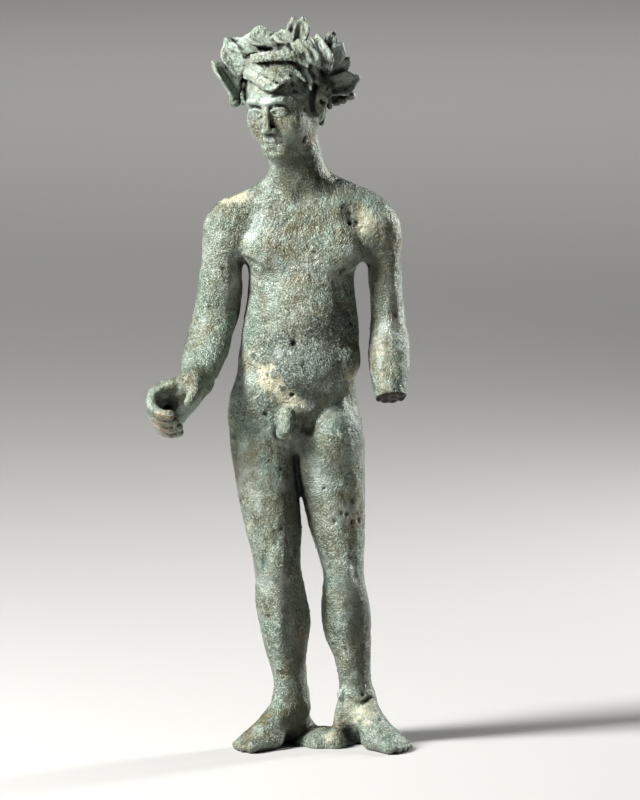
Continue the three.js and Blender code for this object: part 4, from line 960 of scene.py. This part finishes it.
def largest_shell(points, faces):
    """The largest closed skin. Pockets sealed inside the metal are dropped."""
    label = np.arange(len(points))
    ends = np.concatenate([faces[:, [i, (i + 1) % 4]] for i in range(4)])
    while True:
        a, b = label[ends[:, 0]], label[ends[:, 1]]
        apart = a != b
        if not apart.any():
            break
        np.minimum.at(label, np.maximum(a, b)[apart], np.minimum(a, b)[apart])
        while not np.array_equal(label, label[label]):
            label = label[label]
    kept = faces[label[faces[:, 0]] == np.bincount(label).argmax()]
    used, index = np.unique(kept, return_inverse=True)
    return points[used], index.reshape(-1, 4)


def patch_strength(points, facing, patches):
    """How strongly some patches, placed as seen from the front, cover each point."""
    strength = np.zeros(len(points))
    front = np.clip(0.3 - 1.6 * facing[:, 1], 0, 1)  # fades round the sides, and is 0 at the back
    for x, z, half_width, half_height, most in patches:
        away = length_of((points[:, 0] - x) / half_width, (points[:, 2] - z) / half_height)
        strength = np.maximum(strength, most * np.clip(1.5 - away, 0, 1) * front)
    return strength


def surface_facts(field, axes, points):
    """What the patina and the shade painted into it depend on at each point: how enclosed and how sharp it
    is, and the patches on it.
    """
    nudge = 0.5 * np.eye(3)
    slope = np.stack([read(field, axes, points + n) - read(field, axes, points - n) for n in nudge], 1)
    facing = slope / np.maximum(np.linalg.norm(slope, axis=1, keepdims=True), 1e-6)
    hollow = np.zeros(len(points))
    for reach, weight in HOLLOW_PROBES:
        gap = read(field, axes, points + reach * facing)
        hollow += weight * np.clip(1 - gap / reach, 0, 1)
    depth = -read(field, axes, points - THIN * facing)
    normal = np.array(BREAK_NORMAL) / np.linalg.norm(BREAK_NORMAL)
    past = (points - BREAK_AT) @ normal
    near_break = np.linalg.norm(points - BREAK_AT, axis=1) < BREAK_REACH
    return {
        "broken": np.clip(1 + (past + 0.2) / 0.5, 0, 1) * near_break,
        "hollow": np.clip(hollow, 0, 1),
        "edge": np.clip(1 - depth / THIN, 0, 1),
        "cream": patch_strength(points, facing, CREAM_PATCHES),
        "belly": patch_strength(points, facing, BELLY_CRUST),
        "abdomen": patch_strength(points, facing, ABDOMEN_CRUST),
        "rust": patch_strength(points, facing, RUST_PATCHES),
        "film_and_shade": patch_strength(points, facing, FILM_AND_PAINTED_SHADE),
    }


def in_scene(name, data):
    """An object for some data, linked to the scene."""
    made = bpy.data.objects.new(name, data)
    bpy.context.scene.collection.objects.link(made)
    return made


def mesh_object(name, points, faces, facts):
    """An object in metres from points and faces in millimetres, with a value at each point for each fact."""
    mesh = bpy.data.meshes.new(name)
    mesh.vertices.add(len(points))
    mesh.vertices.foreach_set("co", (points * MM).astype(np.float32).ravel())
    mesh.loops.add(faces.size)
    mesh.loops.foreach_set("vertex_index", faces.astype(np.int32).ravel())
    mesh.polygons.add(len(faces))
    mesh.polygons.foreach_set("loop_start", np.arange(0, faces.size, 4, dtype=np.int32))
    mesh.polygons.foreach_set("use_smooth", np.ones(len(faces), bool))
    mesh.update(calc_edges=True)
    for fact, values in facts.items():
        mesh.attributes.new(fact, "FLOAT", "POINT").data.foreach_set("value", values.astype(np.float32))
    return in_scene(name, mesh)


# Node trees


def colour(hex_value):
    """An sRGB hex colour as the linear colour that Blender's sockets take."""
    parts = [int(hex_value[i : i + 2], 16) / 255 for i in (1, 3, 5)]
    return [p / 12.92 if p <= 0.04045 else ((p + 0.055) / 1.055) ** 2.4 for p in parts]


def node(tree, kind, inputs=(), **settings):
    """Adds a node with its settings. Each input takes a value, or the socket or node that is linked to it."""
    made = tree.nodes.new(kind)
    for name, value in settings.items():
        setattr(made, name, value)
    for name, value in dict(inputs).items():
        if isinstance(value, bpy.types.Node):
            value = value.outputs[0]
        if isinstance(value, bpy.types.NodeSocket):
            tree.links.new(value, made.inputs[name])
        else:
            made.inputs[name].default_value = value
    return made


def torn(tree, patch, noise, width):
    """How strongly a patch covers a place once a noise has torn its edge, over some width."""
    centred = node(tree, "ShaderNodeMath", {0: noise, 1: 0.5}, operation="SUBTRACT")
    return node(tree, "ShaderNodeMath", {0: centred, 1: width, 2: patch}, operation="MULTIPLY_ADD")


def strongest(tree, *values):
    """The largest of some values at each place."""
    most = values[0]
    for value in values[1:]:
        most = node(tree, "ShaderNodeMath", {0: most, 1: value}, operation="MAXIMUM")
    return most


def geometry_tree(name, sizes):
    """A Geometry Nodes tree with a geometry input and output, and a named input for each size."""
    tree = bpy.data.node_groups.new(name, "GeometryNodeTree")
    tree.interface.new_socket("Geometry", in_out="INPUT", socket_type="NodeSocketGeometry")
    tree.interface.new_socket("Geometry", in_out="OUTPUT", socket_type="NodeSocketGeometry")
    for label, value in sizes.items():
        kind = "NodeSocketInt" if isinstance(value, int) else "NodeSocketFloat"
        tree.interface.new_socket(label, in_out="INPUT", socket_type=kind).default_value = value
    return tree, node(tree, "NodeGroupInput").outputs


def finished_tree(tree, geometry, material):
    """Ends a tree in Realize Instances and Set Material."""
    real = node(tree, "GeometryNodeRealizeInstances", {"Geometry": geometry})
    painted = node(tree, "GeometryNodeSetMaterial", {"Geometry": real, "Material": material})
    node(tree, "NodeGroupOutput", {"Geometry": painted})


def run_tree(piece, tree, sizes, triangles=0):
    """Runs a tree on a piece with the given sizes, thins it if asked, and keeps it as a plain mesh."""
    modifier = piece.modifiers.new(tree.name, "NODES")
    modifier.node_group = tree
    for item in tree.interface.items_tree:
        if item.item_type == "SOCKET" and item.in_out == "INPUT" and item.name in sizes:
            modifier[item.identifier] = sizes[item.name]
    if triangles:
        thin = piece.modifiers.new("thin", "DECIMATE")
        thin.ratio = min(triangles / (2 * len(piece.data.polygons)), 1)
    graph = bpy.context.evaluated_depsgraph_get()
    solved = piece.evaluated_get(graph)
    mesh = bpy.data.meshes.new_from_object(solved, preserve_all_data_layers=True, depsgraph=graph)
    piece.modifiers.clear()
    piece.data = mesh
    mesh.name = piece.name
    mesh.polygons.foreach_set("use_smooth", np.ones(len(mesh.polygons), bool))
    mesh.update()


def relief_noises(tree, position, given):
    """The noises behind the relief: broad swellings, grain, pitted places and the torn edge of the crust."""
    pitted_places = node(tree, "ShaderNodeMath", {0: given["Pit spacing"], 1: 4.0}, operation="MULTIPLY")
    noises = []
    for width, detail, rough in (
        (given["Swelling size"], 2.0, 0.5),
        (given["Grain size"], 3.0, 0.6),
        (pitted_places, 2.0, 0.5),
        (CRUST_TEAR, 4.0, 0.65),
    ):
        scale = node(tree, "ShaderNodeMath", {0: 1.0, 1: width}, operation="DIVIDE")
        inputs = {"Vector": position, "Scale": scale, "Detail": detail, "Roughness": rough}
        noises.append(node(tree, "ShaderNodeTexNoise", inputs))
    return noises


def pit_depths(tree, position, places, spacing):
    """Round pits in some places of the skin: 1 over the floor of each, falling to 0 at its rim."""
    scale = node(tree, "ShaderNodeMath", {0: 1.0, 1: spacing}, operation="DIVIDE")
    cells = node(tree, "ShaderNodeTexVoronoi", {"Vector": position, "Scale": scale, "Randomness": 1.0})
    wide = node(tree, "ShaderNodeMapRange", {0: places, 1: 0.5, 2: 0.66, 3: 0.0, 4: 0.34})
    within = node(tree, "ShaderNodeMath", {0: wide, 1: cells}, operation="SUBTRACT")
    return node(tree, "ShaderNodeMath", {0: within, 1: 0.2}, operation="DIVIDE", use_clamp=True)


def skin_tree(sizes, material):
    """Swellings, grain, pits and a raised crust on the belly, all along the surface's own direction."""
    tree, given = geometry_tree("corroded_skin", sizes)
    position = node(tree, "GeometryNodeInputPosition")
    level = node(tree, "ShaderNodeSeparateXYZ", {0: position}).outputs[2]
    belly, abdomen, edge = (
        node(tree, "GeometryNodeInputNamedAttribute", {"Name": name}, data_type="FLOAT")
        for name in ("belly", "abdomen", "edge")
    )
    swollen, grainy, pitted_places, tear = relief_noises(tree, position, given)
    bumps = []
    for noise, middle, height in ((swollen, 0.52, "Swelling height"), (grainy, 0.55, "Grain height")):
        above = node(tree, "ShaderNodeMath", {0: noise, 1: middle}, operation="SUBTRACT")
        bumps.append(node(tree, "ShaderNodeMath", {0: above, 1: given[height]}, operation="MULTIPLY"))
    bumpy = node(tree, "ShaderNodeMath", {0: bumps[0], 1: bumps[1]}, operation="ADD")
    # Thin edges, such as those of the leaves, take less of the bumps
    sturdy = node(tree, "ShaderNodeMapRange", {0: edge, 1: 0.1, 2: 0.7, 3: 1.0, 4: 0.25})
    bumpy = node(tree, "ShaderNodeMath", {0: bumpy, 1: sturdy}, operation="MULTIPLY")

    pitted = pit_depths(tree, position, pitted_places, given["Pit spacing"])
    pit = node(tree, "ShaderNodeMath", {0: pitted, 1: given["Pit depth"]}, operation="MULTIPLY")
    crusts = []
    for patch in (belly, abdomen):
        inputs = {0: torn(tree, patch, tear, 1.8), 1: 0.46, 2: 0.56}
        crusts.append(node(tree, "ShaderNodeMapRange", inputs, interpolation_type="SMOOTHSTEP"))
    thinner = node(tree, "ShaderNodeMath", {0: crusts[1], 1: 0.8}, operation="MULTIPLY")
    raised = strongest(tree, crusts[0], thinner)
    crust = node(tree, "ShaderNodeMath", {0: raised, 1: given["Crust height"]}, operation="MULTIPLY")
    stepped = node(tree, "ShaderNodeMath", {0: crust, 1: pit}, operation="SUBTRACT")
    height = node(tree, "ShaderNodeMath", {0: bumpy, 1: stepped}, operation="ADD")

    # The soles stay flat, and the relief is finer on the head
    standing = node(tree, "ShaderNodeMapRange", {0: level, 1: 0.3 * MM, 2: 1.6 * MM})
    finer = node(tree, "ShaderNodeMapRange", {0: level, 1: 140 * MM, 2: 152 * MM, 3: 1.0, 4: 0.7})
    share = node(tree, "ShaderNodeMath", {0: standing, 1: finer}, operation="MULTIPLY")
    height = node(tree, "ShaderNodeMath", {0: height, 1: share}, operation="MULTIPLY")
    normal = node(tree, "GeometryNodeInputNormal")
    shift = node(tree, "ShaderNodeVectorMath", {0: normal, "Scale": height}, operation="SCALE")
    shaped = given["Geometry"]
    for name, value in (("pitted", pitted), ("crusted", crusts[0])):
        inputs = {"Geometry": shaped, "Name": name, "Value": value}
        shaped = node(tree, "GeometryNodeStoreNamedAttribute", inputs, data_type="FLOAT", domain="POINT")
    shaped = node(tree, "GeometryNodeSetPosition", {"Geometry": shaped, "Offset": shift})
    finished_tree(tree, shaped, material)
    return tree


def nodule_tree(sizes, material):
    """Small rough grains of mineral, scattered more thickly where the surface is crusted or pale."""
    tree, given = geometry_tree("mineral_nodules", sizes)
    position = node(tree, "GeometryNodeInputPosition")
    level = node(tree, "ShaderNodeSeparateXYZ", {0: position}).outputs[2]
    crusted, cream = (
        node(tree, "GeometryNodeInputNamedAttribute", {"Name": name}, data_type="FLOAT")
        for name in ("crusted", "cream")
    )
    patchy = node(tree, "ShaderNodeTexNoise", {"Vector": position, "Scale": 1 / GRAIN_PATCH, "Detail": 3.0})
    mottled = node(tree, "ShaderNodeMapRange", {0: patchy, 1: 0.52, 2: 0.66, 4: 0.6})
    above = node(tree, "ShaderNodeMapRange", {0: level, 1: 1 * MM, 2: 3 * MM})
    chosen = strongest(tree, mottled, crusted, cream)
    chosen = node(tree, "ShaderNodeMath", {0: chosen, 1: above}, operation="MULTIPLY")
    density = node(tree, "ShaderNodeMath", {0: chosen, 1: given["Density"]}, operation="MULTIPLY")
    inputs = {"Mesh": given["Geometry"], "Density": density, "Seed": given["Seed"]}
    spread = node(tree, "GeometryNodeDistributePointsOnFaces", inputs)

    grain = node(tree, "GeometryNodeMeshIcoSphere", {"Radius": given["Largest radius"], "Subdivisions": 2})
    dents = node(tree, "ShaderNodeTexNoise", {"Vector": position, "Scale": 1 / DENT_WIDTH})
    push = node(tree, "ShaderNodeVectorMath", {0: dents.outputs[1], 1: (0.5, 0.5, 0.5)}, operation="SUBTRACT")
    move = node(tree, "ShaderNodeVectorMath", {0: push, "Scale": DENT_DEPTH}, operation="SCALE")
    rough = node(tree, "GeometryNodeSetPosition", {"Geometry": grain, "Offset": move})
    inputs = {0: SMALLEST_GRAIN, 1: LARGEST_GRAIN, "Seed": 5}
    size = node(tree, "FunctionNodeRandomValue", inputs, data_type="FLOAT_VECTOR")
    inputs = {"Points": spread, "Instance": rough, "Rotation": spread.outputs["Rotation"], "Scale": size}
    placed = node(tree, "GeometryNodeInstanceOnPoints", inputs)
    finished_tree(tree, placed, material)
    return tree


def patina_material(looks):
    """Cast bronze with a mineral patina from burial, under wax.

    Blue-green carbonates lie over brown oxide, with pale lime crust in patches, and black soil with painted
    shade in the hollows.
    The eye sees a granular, mottled grey-green with a soft sheen.
    """
    material = bpy.data.materials.new("patinated_cast_bronze")
    material.use_nodes = True
    tree = material.node_tree
    tree.nodes.clear()
    place = node(tree, "ShaderNodeTexCoord").outputs["Object"]
    noise = {}
    for name, (width, detail, roughness) in PATINA_NOISES.items():
        inputs = {"Vector": place, "Scale": 1 / (width * MM), "Detail": detail, "Roughness": roughness}
        noise[name] = node(tree, "ShaderNodeTexNoise", inputs)
    fact = {name: node(tree, "ShaderNodeAttribute", attribute_name=name).outputs["Fac"] for name in PAINTED}

    def where(*rules):
        """The share of a layer at a place. A rule is a value, where the layer starts and where it is full."""
        share = 1.0
        for value, start, full in rules:
            inputs = {0: value, 1: start, 2: full, 4: share}
            share = node(tree, "ShaderNodeMapRange", inputs, interpolation_type="SMOOTHSTEP")
        return share

    # How eaten the surface is, and what that does to the speckle, the worn patches and the grain
    half_crust = node(tree, "ShaderNodeMath", {0: fact["crusted"], 1: 0.5}, operation="MULTIPLY")
    coarse = strongest(tree, where((noise["eaten"], 0.42, 0.6)), fact["abdomen"], half_crust)
    speckle = node(tree, "ShaderNodeMapRange", {0: coarse, 3: 0.16, 4: 0.56})
    unspoilt = node(tree, "ShaderNodeMapRange", {0: coarse, 3: 0.75, 4: 0.0})
    grain = node(tree, "ShaderNodeMapRange", {0: coarse, 3: 0.6, 4: 1.0})

    off_crust = node(tree, "ShaderNodeMapRange", {0: fact["crusted"], 3: 1.0, 4: 0.15})
    creamy = where((torn(tree, fact["cream"], noise["middling"], 1.6), 0.2, 0.9), (noise["fine"], 0.34, 0.5))
    creamy = node(tree, "ShaderNodeMath", {0: creamy, 1: off_crust}, operation="MULTIPLY")
    # Soil and painted shade in the hollows: the more enclosed the place, the darker
    hollow_soil_and_shade = where((torn(tree, fact["hollow"], noise["fine"], 0.9), 0.3, 1.0))
    specks = where((noise["specks"], 0.66, 0.72), (noise["specked"], 0.42, 0.58))
    soil_and_shade = strongest(tree, hollow_soil_and_shade, fact["pitted"], specks)
    snapped = where((torn(tree, fact["broken"], noise["grit"], 1.0), 0.4, 0.7))

    # Layers from the metal outwards: where each one lies, how well it covers, and its colour
    layers = (
        (where((noise["broad"], 0.35, 0.68)), 1.0, looks.green),
        (where((noise["middling"], 0.42, 0.66)), 0.75, looks.grey_green),
        (where((noise["worn"], 0.47, 0.6)), unspoilt, looks.silver),
        (where((noise["oxide"], 0.48, 0.66)), 0.6, looks.brown),
        (where((noise["carbonate"], 0.5, 0.68)), 0.5, looks.verdigris),
        (fact["crusted"], 0.8, looks.slate),
        (where((noise["stains"], 0.5, 0.72)), speckle, looks.umber),
        (where((noise["fine"], 0.5, 0.72)), speckle, looks.mint),
        (where((noise["grit"], 0.5, 0.66)), speckle, looks.mint),
        (where((noise["grit"], 0.5, 0.34)), speckle, looks.umber),
        (creamy, 0.88, looks.cream),
        # Dark patina, and painted shade where shade falls on the throat, the inner arm and the legs
        (where((torn(tree, fact["film_and_shade"], noise["middling"], 1.4), 0.25, 0.85)), 0.7, looks.umber),
        (where((torn(tree, fact["rust"], noise["fine"], 2.6), 0.5, 1.1)), 0.6, looks.rust),
        # Pale mint along thin edges: partly wear, partly a painted highlight
        (where((fact["edge"], 0.25, 0.8)), 0.3, looks.mint),
        # Soil in the pits and specks; soil and painted shade in the hollows
        (soil_and_shade, 0.9, looks.soil_and_shade),
        # The break faces down: its dark colour is partly its own and partly painted shade
        (snapped, 0.95, looks.fracture_and_shade),
    )
    shade = (*looks.brown, 1)
    for share, cover, tint in layers:
        amount = node(tree, "ShaderNodeMath", {0: share, 1: cover}, operation="MULTIPLY")
        inputs = {0: amount, 6: shade, 7: (*tint, 1)}
        shade = node(tree, "ShaderNodeMix", inputs, data_type="RGBA").outputs[2]

    uneven = node(tree, "ShaderNodeMath", {0: noise["fine"], 1: coarse}, operation="ADD")
    waxed = node(tree, "ShaderNodeMath", {0: uneven, 1: 0.18, 2: 0.3}, operation="MULTIPLY_ADD")
    dusty = strongest(tree, soil_and_shade, snapped, creamy)
    rough = node(tree, "ShaderNodeMath", {0: dusty, 1: 0.3, 2: waxed}, operation="MULTIPLY_ADD")
    height = 0.0
    for name, share in (("fine", 0.8), ("grit", 0.6), ("finest", 0.25)):
        height = node(tree, "ShaderNodeMath", {0: noise[name], 1: share, 2: height}, operation="MULTIPLY_ADD")
    height = node(tree, "ShaderNodeMath", {0: height, 1: grain}, operation="MULTIPLY")
    bump = node(tree, "ShaderNodeBump", {"Height": height, "Strength": 1.0, "Distance": looks.grain_height})
    finish = {
        "Base Color": shade,
        "Roughness": rough,
        "Metallic": 0.55,
        "Coat Weight": 0.18,
        "Coat Roughness": 0.32,
        "Normal": bump,
    }
    node(tree, "ShaderNodeOutputMaterial", {0: node(tree, "ShaderNodeBsdfPrincipled", finish)})
    return material


def paper_material(shade):
    """Matt studio paper. It gives a plain pale ground with soft shadows."""
    material = bpy.data.materials.new("matt_studio_paper")
    material.use_nodes = True
    tree = material.node_tree
    tree.nodes.clear()
    finish = {"Base Color": (*shade, 1), "Roughness": 0.9, "Specular IOR Level": 0.2}
    node(tree, "ShaderNodeOutputMaterial", {0: node(tree, "ShaderNodeBsdfPrincipled", finish)})
    return material


# Settings that a user would change


def number_setting(name, description, default, unit="NONE"):
    """A number that a user may change, in Blender's own units."""
    return bpy.props.FloatProperty(
        name=name, description=description, default=default, min=0, unit=unit, precision=5
    )


def colour_setting(name, description, hex_value):
    """A colour that a user may change."""
    return bpy.props.FloatVectorProperty(
        name=name, description=description, default=colour(hex_value), size=3, subtype="COLOR", min=0, max=1
    )


class BronzeCasting(bpy.types.PropertyGroup):
    """Sizes of the cast figure and of its mineral grains"""

    step: number_setting("Modelling step", "Distance between grid lines at the finest", 0.37 * MM, "LENGTH")
    triangles: bpy.props.IntProperty(
        name="Triangles", description="Most triangles kept in the figure", default=192000
    )
    swelling_size: number_setting("Swelling size", "Width of the broad blisters", 5 * MM, "LENGTH")
    swelling_height: number_setting("Swelling height", "Height of the broad blisters", 0.5 * MM, "LENGTH")
    grain_size: number_setting("Grain size", "Width of the corroded grain", 1.4 * MM, "LENGTH")
    grain_height: number_setting("Grain height", "Height of the corroded grain", 0.5 * MM, "LENGTH")
    pit_spacing: number_setting("Pit spacing", "Distance between corrosion pits", 2.6 * MM, "LENGTH")
    pit_depth: number_setting("Pit depth", "Depth of the corrosion pits", 0.45 * MM, "LENGTH")
    crust_height: number_setting("Crust height", "Thickness of the crust on the belly", 0.35 * MM, "LENGTH")
    nodule_density: number_setting("Nodules per square metre", "How thickly mineral grains lie", 160000)
    nodule_radius: number_setting("Nodule radius", "Radius of the largest grain", 0.42 * MM, "LENGTH")
    seed: bpy.props.IntProperty(name="Seed", description="Seed of the scattered grains", default=11)


class BronzePatina(bpy.types.PropertyGroup):
    """Colours of the patina and of the shade painted into it, and the height of its finest grain"""

    # Umber also paints the shade in the patches of dark patina
    umber: colour_setting("Umber", "Dark metal between the grains", "#3c3d2e")
    brown: colour_setting("Olive oxide", "Olive-brown layer next to the metal", "#635d42")
    green: colour_setting("Green carbonate", "Main grey-green layer", "#637468")
    grey_green: colour_setting("Grey-green", "Dusty middle tone", "#8b978c")
    # Pale mint also paints a highlight along thin edges
    mint: colour_setting("Pale mint", "Tops of the grain", "#c2cfc2")
    silver: colour_setting("Silver grey", "Smooth worn patches", "#a6afa6")
    verdigris: colour_setting("Blue-green", "Patches of blue-green carbonate", "#6d857b")
    slate: colour_setting("Slate", "Dark crust on the belly", "#48514b")
    cream: colour_setting("Cream", "Lime crust", "#c4c0a4")
    rust: colour_setting("Rust", "Red-brown spots", "#7a5a40")
    # This colour also paints the shade in the hollows
    soil_and_shade: colour_setting("Soil", "Black soil in hollows", "#20211b")
    # The break's dark colour is partly painted shade, as it faces down
    fracture_and_shade: colour_setting("Fracture", "Dark metal at the broken wrist", "#2a2620")
    grain_height: number_setting("Fine grain", "Height of the grain too fine to model", 0.9 * MM, "LENGTH")


class BronzeStage(bpy.types.PropertyGroup):
    """The floor, the lights and the camera"""

    paper: colour_setting("Paper", "Plain pale floor", "#adaca9")
    floor_side: number_setting("Floor", "Side of the floor", 9.0, "LENGTH")
    distance: number_setting("Camera distance", "From the figure to the camera", 2.5, "LENGTH")
    elevation: number_setting("Elevation", "Camera angle above the horizon", 7.5 * DEGREE, "ROTATION")
    key_power: number_setting("Key light", "Power of the key", 20.0, "POWER")
    rim_power: number_setting("Rim light", "Power of the rim", 3.6, "POWER")
    top_power: number_setting("Floor light", "Power of the light over the floor", 5.0, "POWER")
    fill: number_setting("Fill", "Strength of the light all round", 0.06)


# Operators


class CastFigure(bpy.types.Operator):
    """Sculpt the whole statuette as one skin, corrode it and give it its patina"""

    bl_idname = "bronze.cast_figure"
    bl_label = "Cast the figure"

    def execute(self, context):
        sizes = context.scene.bronze_casting
        axes = grid(sizes.step / MM)
        field = sculpted(figure(), axes, 4)
        pits = []
        for x, z, radius, depth in PITS:
            pits += cut(0.3, ball((x, front_of(field, axes, x, z), z), (radius, depth, radius)))
        field = sculpted(pits, axes, 1, field=field)
        field = mended(np.maximum(field, -axes[2]))  # flat soles, at height zero
        points, faces = largest_shell(*skin_of(field, axes))
        if len(faces) < FEWEST_FACES:
            raise RuntimeError("the figure has no surface: check its slices")
        piece = mesh_object("cast_figure", points, faces, surface_facts(field, axes, points))
        relief = {
            "Swelling size": sizes.swelling_size,
            "Swelling height": sizes.swelling_height,
            "Grain size": sizes.grain_size,
            "Grain height": sizes.grain_height,
            "Pit spacing": sizes.pit_spacing,
            "Pit depth": sizes.pit_depth,
            "Crust height": sizes.crust_height,
        }
        material = patina_material(context.scene.bronze_patina)
        run_tree(piece, skin_tree(relief, material), relief, sizes.triangles)
        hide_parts(SOLID_NODE)
        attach(piece, BODY)
        return {"FINISHED"}


class GrowCrust(bpy.types.Operator):
    """Scatter small grains of mineral over the figure"""

    bl_idname = "bronze.grow_crust"
    bl_label = "Grow the mineral crust"

    def execute(self, context):
        sizes = context.scene.bronze_casting
        skin = bpy.data.objects["cast_figure"].data
        piece = in_scene("mineral_crust", skin.copy())
        scatter = {
            "Density": sizes.nodule_density,
            "Largest radius": sizes.nodule_radius,
            "Seed": sizes.seed,
        }
        run_tree(piece, nodule_tree(scatter, skin.materials[0]), scatter)
        if not piece.data.polygons:
            raise RuntimeError("no mineral grains were scattered: raise their density")
        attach(piece, BODY)
        return {"FINISHED"}


class LayStage(bpy.types.Operator):
    """Lay the floor, and set the lights and the camera"""

    bl_idname = "bronze.lay_stage"
    bl_label = "Lay the stage"

    def execute(self, context):
        stage = context.scene.bronze_stage
        middle = Vector(PICTURE_MIDDLE) * MM
        lay_floor(stage)
        light_room(stage, middle)
        aim_camera(stage, middle)
        return {"FINISHED"}


def lay_floor(stage):
    """A plain square of paper under the figure."""
    half = stage.floor_side / 2
    corners = [(-half, -half, 0), (half, -half, 0), (half, half, 0), (-half, half, 0)]
    mesh = bpy.data.meshes.new("floor")
    mesh.from_pydata(corners, [], [(0, 1, 2, 3)])
    mesh.materials.append(paper_material(stage.paper))
    return in_scene("floor", mesh)


def light_room(stage, middle):
    """A key from the figure's right, a rim behind its left, a light over the floor and a faint fill."""
    world = bpy.data.worlds.new("soft_room")
    world.use_nodes = True
    world.node_tree.nodes["Background"].inputs["Strength"].default_value = stage.fill
    bpy.context.scene.world = world
    lamp("key", middle, middle + Vector(KEY_AT), KEY_SIDES, stage.key_power)
    lamp("rim", middle, middle + Vector(RIM_AT), RIM_SIDES, stage.rim_power)
    over_floor = lamp(
        "over_floor", Vector(FLOOR_LIGHT_TARGET), Vector(FLOOR_LIGHT_AT), FLOOR_LIGHT_SIDES, stage.top_power
    )
    over_floor.spread = FLOOR_LIGHT_SPREAD * DEGREE


def lamp(name, target, place, sides, power):
    """A soft rectangular light, aimed at a point."""
    light = bpy.data.lights.new(name, "AREA")
    light.shape = "RECTANGLE"
    light.size, light.size_y = sides
    light.energy = power
    made = in_scene(name, light)
    made.location = place
    made.rotation_euler = (target - place).to_track_quat("-Z", "Y").to_euler()
    return light


def aim_camera(stage, middle):
    """A long lens in front of the figure and a little above it."""
    camera = in_scene("camera", bpy.data.cameras.new("camera"))
    back = Vector((0, -math.cos(stage.elevation), math.sin(stage.elevation)))
    camera.location = middle + back * stage.distance
    camera.rotation_euler = (-back).to_track_quat("-Z", "Y").to_euler()
    camera.data.lens = camera.data.sensor_width * stage.distance / PICTURE_HEIGHT
    camera.data.clip_end = CAMERA_REACH
    bpy.context.scene.camera = camera
    bpy.context.scene.view_settings.view_transform = "Standard"


class BronzePanel(bpy.types.Panel):
    """Buttons that build the statuette, and its settings"""

    bl_idname = "VIEW3D_PT_bronze"
    bl_label = "Wreathed Youth"
    bl_space_type = "VIEW_3D"
    bl_region_type = "UI"
    bl_category = "Bronze"

    def draw(self, context):
        scene = context.scene
        for operator in OPERATORS:
            self.layout.operator(operator.bl_idname)
        for settings in (scene.bronze_casting, scene.bronze_patina, scene.bronze_stage):
            for name in settings.__annotations__:
                self.layout.prop(settings, name)


OPERATORS = (CastFigure, GrowCrust, LayStage)
SETTINGS = {"bronze_casting": BronzeCasting, "bronze_patina": BronzePatina, "bronze_stage": BronzeStage}


def register():
    for made in (*SETTINGS.values(), *OPERATORS, BronzePanel):
        bpy.utils.register_class(made)
    for name, settings in SETTINGS.items():
        setattr(bpy.types.Scene, name, bpy.props.PointerProperty(type=settings))


def unregister():
    for name in SETTINGS:
        delattr(bpy.types.Scene, name)
    for made in (BronzePanel, *OPERATORS, *SETTINGS.values()):
        bpy.utils.unregister_class(made)


def main():
    register()
    bpy.ops.bronze.cast_figure()
    bpy.ops.bronze.grow_crust()
    bpy.ops.bronze.lay_stage()


if __name__ == "__main__":
    main()
